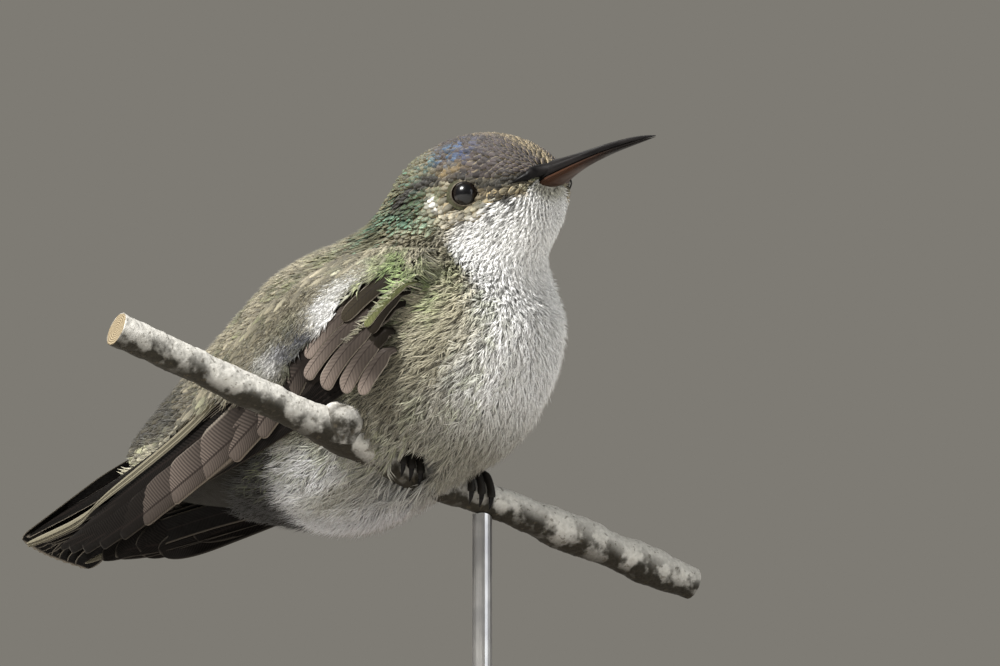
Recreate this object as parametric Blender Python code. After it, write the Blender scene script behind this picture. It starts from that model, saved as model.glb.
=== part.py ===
"""A perched hummingbird, life size, on a short cut branch held by a plain round stand.

Lengths in the tables are millimetres from the perch point, the middle of the branch between the two
feet: +X is ahead of the bird, +Y is its left and +Z is up. The finished model is in metres, with its
origin at the middle of the stand's underside.
"""

import math

import bmesh
import bpy
import numpy as np
from mathutils import Vector
from mathutils.bvhtree import BVHTree

MM = 0.001
GAP = 0.3                                  # clearance between neighbouring solids
PERCH_POINT = (6.0, 0.0, 56.0)             # from the middle of the stand's underside

# Stand
BASE_RADIUS = 39.0
BASE_HEIGHT = 8.0
BASE_BEVEL = 1.2
ROD_RADIUS = 1.25
ROD_ALONG_PERCH = 7.0
ROD_SOCKET_DEPTH = 5.0                     # how far the rod stands in the base
COLLAR_RADIUS = 4.0
COLLAR_HEIGHT = 2.5

# Perch: a bent branch that crosses under the bird
PERCH_HEADING = math.atan2(0.93, 0.37)
PERCH_PATH = ((-44.0, 17.2), (-36.0, 14.2), (-26.8, 10.7), (-18.0, 7.5), (-11.0, 4.7), (-5.0, 1.9),
              (0.0, 0.0), (6.0, -1.2), (18.0, -5.0), (29.0, -8.5), (38.0, -11.6))
PERCH_RADIUS = 2.1
PERCH_SWELLINGS = ((0.45, -13.8, 3.0), (0.55, 20.0, 4.5), (0.5, 31.0, 4.0))    # extra radius, place, spread
KNOT_ALONG = -13.8
KNOT_RADIUS = 2.1
KNOT_RISE = 3.4
KNOT_LEAN = (0.55, -0.30, 1.0)

# Posture
HEAD_CENTRE = (6.8, 36.5)
HEAD_YAW = math.radians(-10.0)
BODY_ROLL = math.radians(8.0)
ROLL_PIVOT = (-5.6, 14.7)
ROLL_PITCH = math.radians(19.5)
ROLL_START = 5.5                           # station where the lean of the trunk begins
ROLL_FULL = 11.0                           # station where it is complete
WIDEST = 0.5                               # where a section is widest, from back to belly
KEEL = 0.55                                # how much the belly narrows below its widest line

# Sections of the body from the bill's base to the tail's root: the point on the back (x, z), the point
# on the belly (x, z) and the half-width
BODY_STATIONS = (
    ((20.5, 38.1), (20.3, 35.5), 1.9),
    ((19.2, 39.3), (20.2, 34.3), 3.2),
    ((17.2, 40.7), (20.1, 32.9), 4.3),
    ((14.2, 42.2), (19.8, 31.4), 5.1),
    ((10.2, 43.2), (19.1, 29.7), 5.7),
    ((5.0, 43.4), (17.8, 27.9), 6.2),
    ((-0.1, 42.4), (16.6, 26.0), 6.9),
    ((-4.2, 40.2), (16.3, 23.7), 8.3),
    ((-6.5, 36.7), (16.9, 21.0), 10.2),
    ((-8.8, 33.6), (17.2, 17.9), 12.2),
    ((-13.1, 31.5), (16.5, 13.6), 13.7),
    ((-19.2, 30.0), (14.3, 8.7), 14.5),
    ((-25.0, 27.5), (10.2, 3.8), 14.8),
    ((-29.6, 24.0), (3.2, -0.4), 14.2),
    ((-33.6, 20.9), (-5.0, -3.6), 13.0),
    ((-37.6, 18.2), (-12.5, -5.0), 11.4),
    ((-41.4, 15.3), (-20.5, -4.6), 9.6),
    ((-45.0, 12.1), (-31.0, -3.2), 8.0),
    ((-48.2, 8.9), (-41.0, -1.8), 6.4),
    ((-50.0, 6.3), (-47.4, 0.0), 4.8),
)
RING_POINTS = 28
HEAD_RINGS = (0.0, 7.2)
NECK_RINGS = (7.32, 9.6)
TRUNK_RINGS = (9.72, 19.0)
HEAD_RING_STEP = 0.45
TRUNK_RING_STEP = 0.5

# Bill, measured ahead from the head's centre along the head's own axis
BILL_START = 14.6
BILL_LENGTH = 17.2
BILL_LEVEL = 36.9
BILL_RISE = 2.8
BILL_DROOP = 0.5
BILL_SPLIT = 0.12                          # gap between the mandibles
BILL_DEPTHS = (1.25, 0.55)                 # swelling at the base, and depth of the shaft
BILL_WIDTHS = (1.35, 0.72)
UPPER_SHARE = 0.78                         # share of the depth in the upper mandible
LOWER_SHARE = 0.72
LOWER_NARROWING = 0.94

# Eyes, in the head's own frame
EYE_AHEAD = 3.5
EYE_SIDE = 4.95
EYE_LEVEL = 35.1
EYE_RADIUS = 1.95
SOCKET_GAP = 0.15

# Folded wing, from the wrist to the tip: centre (x, z), half-breadth, least distance from the middle
# plane and thickness
WING_STATIONS = (
    ((8.0, 24.6), 2.2, 11.4, 1.5),
    ((3.0, 22.4), 4.8, 13.2, 1.6),
    ((-4.0, 18.8), 6.3, 14.0, 1.4),
    ((-11.5, 14.6), 6.9, 14.0, 1.2),
    ((-19.5, 9.2), 6.4, 13.2, 1.1),
    ((-28.0, 3.8), 5.8, 12.2, 1.0),
    ((-36.8, -0.4), 4.9, 11.2, 0.9),
    ((-45.6, -4.0), 3.6, 10.0, 0.8),
    ((-55.0, -7.3), 0.9, 8.8, 0.7),
)
LEFT_WING_LIFT = 1.4                       # the left wing is held a little higher
LEFT_WING_TUCK = 2.6                       # and closer to the tail at its tip
WING_TILT = 0.9                            # how far the upper edge leans in over the back
WING_BOW = 1.1                             # how far both edges curl in from the middle
WING_CLEARANCE = 0.45                      # between the wing's inner face and the flank
WING_LEAST_THICKNESS = 0.5
WING_RINGS = 26                            # rings over the wing's whole length
WING_SPLITS = {"coverts": (0.0, 0.30), "secondaries": (0.312, 0.50), "primaries": (0.512, 1.0)}

# Tail, a flat fan
TAIL_ROOT = (-50.6, 2.6)
TAIL_TIP = (-67.0, -7.3)
TAIL_TWIST = math.radians(12.0)
TAIL_ROOT_HALF = 4.9
TAIL_TIP_HALF = 6.2
TAIL_THICKNESS = 1.1
TAIL_THINNING = 0.45                       # less at the tip
TAIL_CAMBER = 0.8                          # how far the fan's edges bend down
TAIL_SPLITS = {"tail_right": (-1.0, -0.37), "tail_middle": (-0.31, 0.31), "tail_left": (0.37, 1.0)}

# Feet
FOOT_ALONG = {"right": -5.0, "left": 5.3}
TOE_RADIUS = 0.45
TOE_SPREAD = 1.25
TARSUS_RADIUS = 0.55
TARSUS_LENGTH = 4.2
TARSUS_PATH = ((-0.2, -0.15), (-0.6, 1.2), (-1.2, TARSUS_LENGTH))    # (x, z) from the top of the grip
TOE_TAPER = (1.15, 1.1, 1.0, 1.0, 0.95, 0.9, 0.85, 0.6, 0.28)
TOE_REACH = 0.15                           # how far a claw's tip stands off the bark
FRONT_TOE = (-12.0, 152.0)                 # where a toe starts and how far it curls round, in degrees
HIND_TOE = (12.0, -138.0)


def smooth_step(value, low, high):
    """A ramp from 0 at low to 1 at high, level at both ends."""
    share = np.clip((np.asarray(value, dtype=float) - low) / (high - low), 0.0, 1.0)
    return share * share * (3.0 - 2.0 * share)


def spline(rows, where):
    """Read a smooth curve through evenly numbered rows at the given row numbers (Catmull-Rom)."""
    rows = np.asarray(rows, dtype=float)
    where = np.clip(np.asarray(where, dtype=float), 0.0, len(rows) - 1.0)
    first = np.minimum(where.astype(int), len(rows) - 2)
    part = (where - first)[..., None]
    padded = np.vstack([2.0 * rows[0] - rows[1], rows, 2.0 * rows[-1] - rows[-2]])
    before, start, end, after = (padded[first + step] for step in range(4))
    return start + 0.5 * part * (end - before + part * (
        2.0 * before - 5.0 * start + 4.0 * end - after + part * (3.0 * (start - end) + after - before)))


def turn_head(points):
    """Turn points about the vertical line through the head's centre by the head's yaw."""
    turned = np.array(points, dtype=float)
    ahead = turned[..., 0] - HEAD_CENTRE[0]
    side = turned[..., 1].copy()
    turned[..., 0] = HEAD_CENTRE[0] + ahead * math.cos(HEAD_YAW) - side * math.sin(HEAD_YAW)
    turned[..., 1] = ahead * math.sin(HEAD_YAW) + side * math.cos(HEAD_YAW)
    return turned


def lean(points, share=1.0):
    """Roll points about the bird's long axis by a share of the body's lean, right side up."""
    points = np.array(points, dtype=float)
    axis = np.array([math.cos(ROLL_PITCH), 0.0, math.sin(ROLL_PITCH)])
    pivot = np.array([ROLL_PIVOT[0], 0.0, ROLL_PIVOT[1]])
    angle = (-BODY_ROLL * np.asarray(share, dtype=float))[..., None]
    offset = points - pivot
    along = (offset @ axis)[..., None] * axis
    across = offset - along
    return pivot + along + across * np.cos(angle) + np.cross(axis, across) * np.sin(angle)


def to_model(points):
    """Move points from the perch point's frame in millimetres to the model's frame in metres."""
    return (np.asarray(points, dtype=float) + np.array(PERCH_POINT)) * MM


def body_rings(stations, around, posed=True):
    """Points of the body's surface: a two-part ellipse between the back and belly at each station."""
    rows = np.array([[*back, *belly, half] for back, belly, half in BODY_STATIONS])
    read = spline(rows, stations)
    back = np.stack([read[:, 0], np.zeros(len(read)), read[:, 1]], axis=1)
    belly = np.stack([read[:, 2], np.zeros(len(read)), read[:, 3]], axis=1)
    middle = back + (belly - back) * WIDEST
    up = np.cos(around)[None, :, None]
    rise = np.where(up > 0.0, (back - middle)[:, None, :], (middle - belly)[:, None, :])
    points = middle[:, None, :] + rise * up
    keel = 1.0 + KEEL * smooth_step(stations, 11.5, 14.0)[:, None] * (np.cos(around)[None, :] < 0.0)
    points[:, :, 1] += read[:, 4][:, None] * np.sign(np.sin(around)) * np.abs(np.sin(around)) ** keel
    if not posed:
        return points
    loose = (1.0 - smooth_step(stations, 6.0, 10.0))[:, None, None]
    points = points + (turn_head(points) - points) * loose
    share = np.repeat(smooth_step(stations, ROLL_START, ROLL_FULL)[:, None], len(around), axis=1)
    return lean(points, share)


def grid_mesh(name, grid):
    """A closed mesh from rings of points: quads between the rings and a flat cap at each end."""
    count, size = grid.shape[:2]
    number = np.arange(count * size).reshape(count, size)
    following = np.roll(number, -1, axis=1)
    quads = np.stack([number[:-1], number[1:], following[1:], following[:-1]], axis=-1).reshape(-1, 4)
    faces = [tuple(int(corner) for corner in quad) for quad in quads]
    faces.append(tuple(int(corner) for corner in number[0]))
    faces.append(tuple(int(corner) for corner in number[-1][::-1]))
    mesh = bpy.data.meshes.new(name)
    mesh.from_pydata([tuple(point) for point in grid.reshape(-1, 3)], [], faces)
    face_outwards(mesh)
    return mesh


def face_outwards(mesh):
    """Merge doubles and point every face of a closed mesh outwards."""
    work = bmesh.new()
    work.from_mesh(mesh)
    bmesh.ops.remove_doubles(work, verts=work.verts, dist=1e-7)
    bmesh.ops.recalc_face_normals(work, faces=work.faces)
    if work.calc_volume(signed=True) < 0.0:
        bmesh.ops.reverse_faces(work, faces=work.faces)
    work.to_mesh(mesh)
    work.free()


def material(name, colour, roughness, metallic=0.0):
    """A plain surface with its own colour, roughness and metallic value."""
    made = bpy.data.materials.new(name)
    made.use_nodes = True
    shader = made.node_tree.nodes["Principled BSDF"]
    shader.inputs["Base Color"].default_value = (*colour, 1.0)
    shader.inputs["Roughness"].default_value = roughness
    shader.inputs["Metallic"].default_value = metallic
    return made


def add_object(name, mesh, surface, guide=False):
    """Link a mesh to the scene under its node's name; a guide only cuts others."""
    made = bpy.data.objects.new(name, mesh)
    bpy.context.scene.collection.objects.link(made)
    if guide:
        made.hide_render = True
        made.display_type = "WIRE"
        return made
    mesh.materials.clear()
    mesh.materials.append(surface)
    mesh.shade_smooth()
    mesh.set_sharp_from_angle(angle=math.radians(40.0))
    return made


def bake(target):
    """Replace an object's mesh by its evaluated shape, keeping its largest body only."""
    bpy.context.view_layer.update()
    graph = bpy.context.evaluated_depsgraph_get()
    shape = bpy.data.meshes.new_from_object(target.evaluated_get(graph))
    target.modifiers.clear()
    work = bmesh.new()
    work.from_mesh(shape)
    bmesh.ops.triangulate(work, faces=work.faces)
    bmesh.ops.remove_doubles(work, verts=work.verts, dist=1e-6)
    bmesh.ops.dissolve_degenerate(work, edges=work.edges, dist=1e-6)
    bodies = []
    left = set(work.verts)
    while left:
        start = left.pop()
        body = {start}
        edge_of = [start]
        while edge_of:
            for edge in edge_of.pop().link_edges:
                for corner in edge.verts:
                    if corner not in body:
                        body.add(corner)
                        edge_of.append(corner)
        left -= body
        bodies.append(body)
    keep = max(bodies, key=len)
    bmesh.ops.delete(work, geom=[v for v in work.verts if v not in keep], context="VERTS")
    work.to_mesh(shape)
    work.free()
    target.data = shape


def combine(target, other, operation):
    """Apply an exact Boolean of another object to the target."""
    step = target.modifiers.new(operation.lower(), "BOOLEAN")
    step.operation = operation
    step.solver = "EXACT"
    step.object = other
    bake(target)


def perch_point(along, lift=0.0):
    """The branch's centre line: straight in plan, bent up and down along its length."""
    path = np.array(PERCH_PATH)
    row = np.interp(along, path[:, 0], np.arange(len(path)))
    read = spline(path, np.atleast_1d(row))
    flat = read[:, 0]
    heading = (math.cos(PERCH_HEADING), math.sin(PERCH_HEADING))
    points = np.stack([flat * heading[0], flat * heading[1], read[:, 1] + lift], axis=1)
    return points if np.ndim(along) else points[0]


def frames_along(points):
    """Unit tangents of a path, with a level and an upward unit vector square to each."""
    tangent = np.gradient(points, axis=0)
    tangent /= np.linalg.norm(tangent, axis=1, keepdims=True)
    level = np.cross(tangent, [0.0, 0.0, 1.0])
    level /= np.linalg.norm(level, axis=1, keepdims=True)
    return tangent, level, np.cross(level, tangent)


def tube(name, points, radii, sides):
    """A round tube along a path with the given radii and flat ends."""
    points = np.asarray(points, dtype=float)
    _, level, upward = frames_along(points)
    around = np.linspace(0.0, 2.0 * math.pi, sides, endpoint=False)
    ring = level[:, None, :] * np.cos(around)[None, :, None]
    ring = ring + upward[:, None, :] * np.sin(around)[None, :, None]
    grid = points[:, None, :] + ring * np.asarray(radii, dtype=float)[:, None, None]
    return grid_mesh(name, to_model(grid))


def perch_radius(along):
    """The branch swells at its knot and towards its lower end."""
    swell = sum(extra * np.exp(-((along - place) / spread) ** 2) for extra, place, spread in PERCH_SWELLINGS)
    return PERCH_RADIUS + swell


def make_branch(name, grow, bark):
    """The cut branch with the stub of a side twig, all grown by a margin; no bark for a cutter."""
    guide = bark is None
    along = np.linspace(PERCH_PATH[0][0] - grow, PERCH_PATH[-1][0] + grow, 34)
    branch = add_object(name, tube(name, perch_point(along), perch_radius(along) + grow, 14), bark, guide)
    rise = np.linspace(0.0, 1.0, 4)[:, None]
    stub = perch_point(KNOT_ALONG) + rise * (np.array(KNOT_LEAN) * (KNOT_RISE + grow))
    radii = KNOT_RADIUS * (0.86 + 0.14 * np.cos(rise[:, 0] * math.pi) ** 2) + grow
    twig = add_object("twig", tube("twig", stub, radii, 12), None, guide=True)
    combine(branch, twig, "UNION")
    bpy.data.objects.remove(twig)
    return branch


def toe_path(along, spread, start, sweep, reach):
    """An arc round the branch, from its top towards the front or the back."""
    base = perch_point(along + spread)
    ahead = np.array([math.sin(PERCH_HEADING), -math.cos(PERCH_HEADING), 0.0])
    angle = np.radians(np.linspace(start, start + sweep, 9))
    radius = PERCH_RADIUS + GAP + TOE_RADIUS + reach * np.linspace(0.0, 1.0, 9) ** 2
    spoke = np.cos(angle)[:, None] * [0.0, 0.0, 1.0] + np.sin(angle)[:, None] * ahead
    return base + radius[:, None] * spoke


def make_leg(side, horn):
    """A tarsus with three toes ahead and one behind, curled round the branch and ending in claws."""
    along = FOOT_ALONG[side]
    taper = np.array(TOE_TAPER) * TOE_RADIUS
    top = toe_path(along, 0.0, 0.0, 1.0, 0.0)[0]
    shaft = top + np.array([[x, 0.0, z] for x, z in TARSUS_PATH])
    radii = [TARSUS_RADIUS * 1.15, TARSUS_RADIUS, TARSUS_RADIUS]
    leg = add_object(f"leg_{side}", tube("leg", shaft, radii, 8), horn)
    toes = [(spread * TOE_SPREAD, *FRONT_TOE) for spread in (-1.0, 0.0, 1.0)]
    toes.append((0.1, *HIND_TOE))
    for number, (spread, start, sweep) in enumerate(toes):
        path = toe_path(along, spread, start, sweep, TOE_REACH)
        root = path[0] * 0.35 + top * 0.65
        path = np.vstack([root, path[1:]])
        toe = add_object(f"toe_{number}", tube("toe", path, taper, 8), horn, guide=True)
        combine(leg, toe, "UNION")
        bpy.data.objects.remove(toe)
    return leg


def tarsus_cutter(side):
    """A fattened tarsus, for the pocket that it leaves in the belly's feathers."""
    top = toe_path(FOOT_ALONG[side], 0.0, 0.0, 1.0, 0.0)[0]
    path = top + np.array([[0.1, 0.0, -1.6], [-0.6, 0.0, 1.2], [-1.4, 0.0, TARSUS_LENGTH + 0.8]])
    radius = TARSUS_RADIUS + GAP
    mesh = tube("tarsus_cutter", path, [radius * 1.6, radius, radius], 12)
    return add_object("tarsus_cutter", mesh, None, guide=True)


def foot_cutter(side):
    """A short drum round the branch that clears the toes."""
    along = np.linspace(FOOT_ALONG[side] - 3.0, FOOT_ALONG[side] + 3.0, 4)
    radii = np.full(4, PERCH_RADIUS + 2.0 * GAP + 2.0 * TOE_RADIUS + 0.25)
    mesh = tube("foot_cutter", perch_point(along), radii, 20)
    return add_object("foot_cutter", mesh, None, guide=True)


def make_body(name, rings, step, plumage):
    """One length of the body between two stations."""
    count = int(round((rings[1] - rings[0]) / step)) + 1
    around = np.linspace(0.0, 2.0 * math.pi, RING_POINTS, endpoint=False)
    grid = body_rings(np.linspace(rings[0], rings[1], count), around)
    return add_object(name, grid_mesh(name, to_model(grid)), plumage)


def eye_centre(side):
    """An eye's centre, turned with the head."""
    left = 1.0 if side == "left" else -1.0
    return turn_head(np.array([HEAD_CENTRE[0] + EYE_AHEAD, left * EYE_SIDE, EYE_LEVEL]))


def ball(name, centre, radius, surface, guide=False):
    """A round ball of 18 by 10 facets."""
    mesh = bpy.data.meshes.new(name)
    work = bmesh.new()
    bmesh.ops.create_uvsphere(work, u_segments=18, v_segments=10, radius=radius * MM)
    bmesh.ops.translate(work, verts=work.verts, vec=Vector(to_model(centre)))
    work.to_mesh(mesh)
    work.free()
    return add_object(name, mesh, surface, guide)


def bill_half(name, upper, horn):
    """One mandible: a tapering half round that droops a little towards its tip."""
    share = np.linspace(0.0, 1.0, 15)
    ahead = HEAD_CENTRE[0] + BILL_START + share * BILL_LENGTH
    level = BILL_LEVEL + BILL_RISE * share + BILL_DROOP * 4.0 * share * (1.0 - share)
    slim = 1.0 - share * 0.35
    deep = (BILL_DEPTHS[0] * np.exp(-share * 3.2) + BILL_DEPTHS[1]) * (1.0 - share ** 6) + 0.06
    deep = deep * (UPPER_SHARE if upper else LOWER_SHARE)
    wide = (BILL_WIDTHS[0] * np.exp(-share * 3.6) + BILL_WIDTHS[1] * slim) * (1.0 - 0.86 * share ** 5)
    if not upper:
        wide = wide * LOWER_NARROWING
    around = np.linspace(0.0, math.pi, 9)
    sign = 1.0 if upper else -1.0
    side = wide[:, None] * np.cos(around)[None, :]
    lift = level[:, None] + sign * (BILL_SPLIT * 0.5 + deep[:, None] * np.sin(around)[None, :] ** 0.8)
    grid = np.stack([np.broadcast_to(ahead[:, None], side.shape), side, lift], axis=-1)
    return add_object(name, grid_mesh(name, to_model(turn_head(grid))), horn)


def trunk_tree():
    """The body's unposed surface, which the folded wings lie against."""
    around = np.linspace(0.0, 2.0 * math.pi, 96, endpoint=False)
    grid = body_rings(np.linspace(4.0, 19.0, 121), around, posed=False)
    count, size = grid.shape[:2]
    number = np.arange(count * size).reshape(count, size)
    following = np.roll(number, -1, axis=1)
    quads = np.stack([number[:-1], number[1:], following[1:], following[:-1]], axis=-1).reshape(-1, 4)
    return BVHTree.FromPolygons([Vector(point) for point in grid.reshape(-1, 3)], quads.tolist())


def wing_grid(start, end, side, tree):
    """A curved blade over the flank: its inner face clears the trunk and its outer face stands proud."""
    rows = np.array([[*centre, half, out, thick] for centre, half, out, thick in WING_STATIONS])
    count = max(5, int(round((end - start) * WING_RINGS)))
    share = np.linspace(start, end, count)
    read = spline(rows, share * (len(rows) - 1.0))
    if side == "left":
        read[:, 1] += LEFT_WING_LIFT * smooth_step(share, 0.3, 0.8)
        read[:, 3] -= LEFT_WING_TUCK * smooth_step(share, 0.4, 1.0)
    heading = np.gradient(read[:, :2], axis=0)
    heading /= np.linalg.norm(heading, axis=1, keepdims=True)
    square = np.stack([heading[:, 1], -heading[:, 0]], axis=1)
    across = np.linspace(-1.0, 1.0, 8)
    place = read[:, None, :2] + square[:, None, :] * (read[:, 2, None] * across[None, :])[..., None]
    inner = read[:, 3, None] - WING_BOW * across[None, :] ** 2 - WING_TILT * across[None, :]
    for row, column in np.ndindex(inner.shape):
        x, z = place[row, column]
        hit = tree.ray_cast(Vector((x, 60.0, z)), Vector((0.0, -1.0, 0.0)))[0]
        if hit is not None:
            inner[row, column] = max(inner[row, column], hit.y + WING_CLEARANCE)
    for _ in range(3):
        blurred = inner.copy()
        blurred[1:-1] = 0.25 * inner[:-2] + 0.5 * inner[1:-1] + 0.25 * inner[2:]
        inner = np.maximum(inner, blurred)
    thick = np.maximum(read[:, 4, None] * (1.0 - 0.5 * across[None, :] ** 2), WING_LEAST_THICKNESS)
    outer = inner + thick
    sign = 1.0 if side == "left" else -1.0
    inside = np.stack([place[..., 0], sign * inner, place[..., 1]], axis=-1)
    outside = np.stack([place[..., 0], sign * outer, place[..., 1]], axis=-1)
    return lean(np.concatenate([outside, inside[:, ::-1]], axis=1), 1.0)


def tail_grid(low, high):
    """A share of the flat tail fan, twisted right side up, wider and thinner towards its rounded tip."""
    share = np.linspace(0.0, 1.0, 6)
    across = np.linspace(low, high, 5)
    root = np.array([TAIL_ROOT[0], 0.0, TAIL_ROOT[1]])
    run = np.array([TAIL_TIP[0], 0.0, TAIL_TIP[1]]) - root
    half = TAIL_ROOT_HALF + (TAIL_TIP_HALF - TAIL_ROOT_HALF) * share
    reach = 1.0 - 0.08 * across ** 2 + 0.03 * np.cos(across * math.pi * 4.0)
    upward = np.array([run[2], 0.0, -run[0]]) / np.linalg.norm(run)
    level = np.array([0.0, 1.0, 0.0])
    side = level * math.cos(TAIL_TWIST) - upward * math.sin(TAIL_TWIST)
    square = upward * math.cos(TAIL_TWIST) + level * math.sin(TAIL_TWIST)
    middle = root + (share[:, None] * reach[None, :])[..., None] * run
    middle += (half[:, None] * across[None, :])[..., None] * side
    middle += square * (-TAIL_CAMBER * across ** 2)[None, :, None]
    thick = (TAIL_THICKNESS - TAIL_THINNING * share)[:, None, None] * 0.5 * square
    top = middle + thick
    under = middle - thick
    return lean(np.concatenate([top, under[:, ::-1]], axis=1), 1.0)


def make_stand(wood, steel):
    """A flat round base, a thin rod up to the branch and a small collar at its foot."""
    mesh = bpy.data.meshes.new("stand_base")
    work = bmesh.new()
    wide, top = BASE_RADIUS * MM, BASE_HEIGHT * MM
    bmesh.ops.create_cone(work, cap_ends=True, segments=56, radius1=wide, radius2=wide, depth=top)
    bmesh.ops.translate(work, verts=work.verts, vec=(0.0, 0.0, top / 2.0))
    rim = [edge for edge in work.edges if all(abs(corner.co.z - top) < 1e-6 for corner in edge.verts)]
    bmesh.ops.bevel(work, geom=rim, offset=BASE_BEVEL * MM, segments=2, profile=0.5, affect="EDGES")
    work.to_mesh(mesh)
    work.free()
    base = add_object("stand_base", mesh, wood)

    foot = perch_point(ROD_ALONG_PERCH)
    floor = -PERCH_POINT[2]
    post = np.array([[foot[0], foot[1], 0.0]])
    socket = floor + BASE_HEIGHT - ROD_SOCKET_DEPTH
    ends = np.array([socket, foot[2]])[:, None] * [0.0, 0.0, 1.0]
    rod = add_object("stand_rod", upright("stand_rod", post, ends[:, 2], ROD_RADIUS, 20), steel)
    drill_ends = (socket - GAP, floor + BASE_HEIGHT + COLLAR_HEIGHT + 2.0)
    drill = add_object("drill", upright("drill", post, drill_ends, ROD_RADIUS + GAP, 20), None, guide=True)
    combine(base, drill, "DIFFERENCE")
    collar_ends = (floor + BASE_HEIGHT + GAP, floor + BASE_HEIGHT + GAP + COLLAR_HEIGHT)
    collar = add_object("stand_collar", upright("stand_collar", post, collar_ends, COLLAR_RADIUS, 32), steel)
    combine(collar, drill, "DIFFERENCE")
    bpy.data.objects.remove(drill)
    return base, rod, collar


def upright(name, post, levels, radius, sides):
    """A vertical cylinder between two levels."""
    around = np.linspace(0.0, 2.0 * math.pi, sides, endpoint=False)
    ring = np.stack([np.cos(around), np.sin(around), np.zeros(sides)], axis=1) * radius
    grid = np.stack([post + ring + [0.0, 0.0, level] for level in levels])
    return grid_mesh(name, to_model(grid))


def main():
    for thing in list(bpy.data.objects):
        bpy.data.objects.remove(thing)

    crown = material("head_plumage", (0.20, 0.22, 0.14), 0.6)
    mantle = material("neck_plumage", (0.30, 0.31, 0.22), 0.7)
    plumage = material("trunk_plumage", (0.36, 0.35, 0.29), 0.8)
    flight = material("flight_feather", (0.10, 0.08, 0.07), 0.6)
    horn_dark = material("bill_horn", (0.015, 0.013, 0.014), 0.35)
    horn_red = material("bill_lower_horn", (0.16, 0.05, 0.03), 0.4)
    foot_horn = material("foot_horn", (0.012, 0.012, 0.011), 0.35)
    eye_black = material("eye_black", (0.006, 0.005, 0.005), 0.05)
    bark = material("bark", (0.32, 0.30, 0.26), 0.9)
    wood = material("stand_wood", (0.10, 0.055, 0.03), 0.5)
    steel = material("stand_steel", (0.55, 0.55, 0.55), 0.3, 1.0)

    base, rod, collar = make_stand(wood, steel)
    make_branch("perch", 0.0, bark)
    cutter = make_branch("perch_cutter", GAP, None)
    combine(rod, cutter, "DIFFERENCE")

    head = make_body("head", HEAD_RINGS, HEAD_RING_STEP, crown)
    make_body("neck", NECK_RINGS, HEAD_RING_STEP, mantle)
    trunk = make_body("trunk", TRUNK_RINGS, TRUNK_RING_STEP, plumage)
    combine(trunk, cutter, "DIFFERENCE")

    for side in ("right", "left"):
        leg = make_leg(side, foot_horn)
        for pocket in (tarsus_cutter(side), foot_cutter(side)):
            combine(trunk, pocket, "DIFFERENCE")
            bpy.data.objects.remove(pocket)
        ball(f"eye_{side}", eye_centre(side), EYE_RADIUS, eye_black)
        socket = ball("socket", eye_centre(side), EYE_RADIUS + SOCKET_GAP, None, guide=True)
        combine(head, socket, "DIFFERENCE")
        bpy.data.objects.remove(socket)

    bill_half("bill_upper", True, horn_dark)
    bill_half("bill_lower", False, horn_red)

    tree = trunk_tree()
    for side in ("right", "left"):
        for part, (start, end) in WING_SPLITS.items():
            name = f"wing_{side}_{part}"
            mesh = grid_mesh(name, to_model(wing_grid(start, end, side, tree)))
            wing = add_object(name, mesh, flight)
            if part == "secondaries" and side == "right":
                combine(wing, cutter, "DIFFERENCE")
    for name, (low, high) in TAIL_SPLITS.items():
        add_object(name, grid_mesh(name, to_model(tail_grid(low, high))), flight)
    bpy.data.objects.remove(cutter)


main()
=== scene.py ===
"""The finish of a perched hummingbird on its stand: skin, eyes, bill, feet, feathers, bark and stage.

Lengths in the tables are millimetres from the perch point, the middle of the branch between the two
feet: +X is ahead of the bird, +Y is its left and +Z is up. A place on the body is a station, 0 at the
bill's base to 19 at the tail's root, and an angle round it, 0 on the back and pi on the belly.
"""

import math

import bpy
import numpy as np
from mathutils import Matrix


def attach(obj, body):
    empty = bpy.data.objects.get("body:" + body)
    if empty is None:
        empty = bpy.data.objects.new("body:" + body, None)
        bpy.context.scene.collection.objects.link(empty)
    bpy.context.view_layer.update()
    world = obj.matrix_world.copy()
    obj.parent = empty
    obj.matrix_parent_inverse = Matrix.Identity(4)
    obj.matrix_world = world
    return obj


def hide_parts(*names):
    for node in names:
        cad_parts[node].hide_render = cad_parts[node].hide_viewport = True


bl_info = {
    "name": "Perched Hummingbird",
    "version": (1, 0, 0),
    "blender": (4, 5, 0),
    "location": "View3D > Sidebar > Hummingbird",
    "description": "Feathers, skin, horn, bark and stage for a perched hummingbird model",
    "category": "Object",
}

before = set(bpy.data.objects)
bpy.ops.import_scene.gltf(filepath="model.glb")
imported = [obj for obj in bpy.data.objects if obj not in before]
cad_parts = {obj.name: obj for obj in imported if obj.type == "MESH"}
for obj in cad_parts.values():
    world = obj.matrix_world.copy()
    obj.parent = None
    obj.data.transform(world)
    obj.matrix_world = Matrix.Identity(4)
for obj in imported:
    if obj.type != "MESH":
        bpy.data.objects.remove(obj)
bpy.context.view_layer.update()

MM = 0.001
TURN = 2.0 * math.pi
PERCH_POINT = (6.0, 0.0, 56.0)  # from the middle of the stand's underside

# Perch
PERCH_HEADING = math.atan2(0.93, 0.37)
PERCH_FRONT = np.array([math.sin(PERCH_HEADING), -math.cos(PERCH_HEADING), 0.0])
PERCH_PATH = ((-44.0, 17.2), (-36.0, 14.2), (-26.8, 10.7), (-18.0, 7.5), (-11.0, 4.7), (-5.0, 1.9),
              (0.0, 0.0), (6.0, -1.2), (18.0, -5.0), (29.0, -8.5), (38.0, -11.6))
PERCH_RADIUS = 2.1
PERCH_SWELLINGS = ((0.45, -13.8, 3.0), (0.55, 20.0, 4.5), (0.5, 31.0, 4.0))
KNOT_ALONG = -13.8
KNOT_RADIUS = 2.9
KNOT_RISE = 3.4
KNOT_LEAN = (0.55, -0.30, 1.0)

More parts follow.
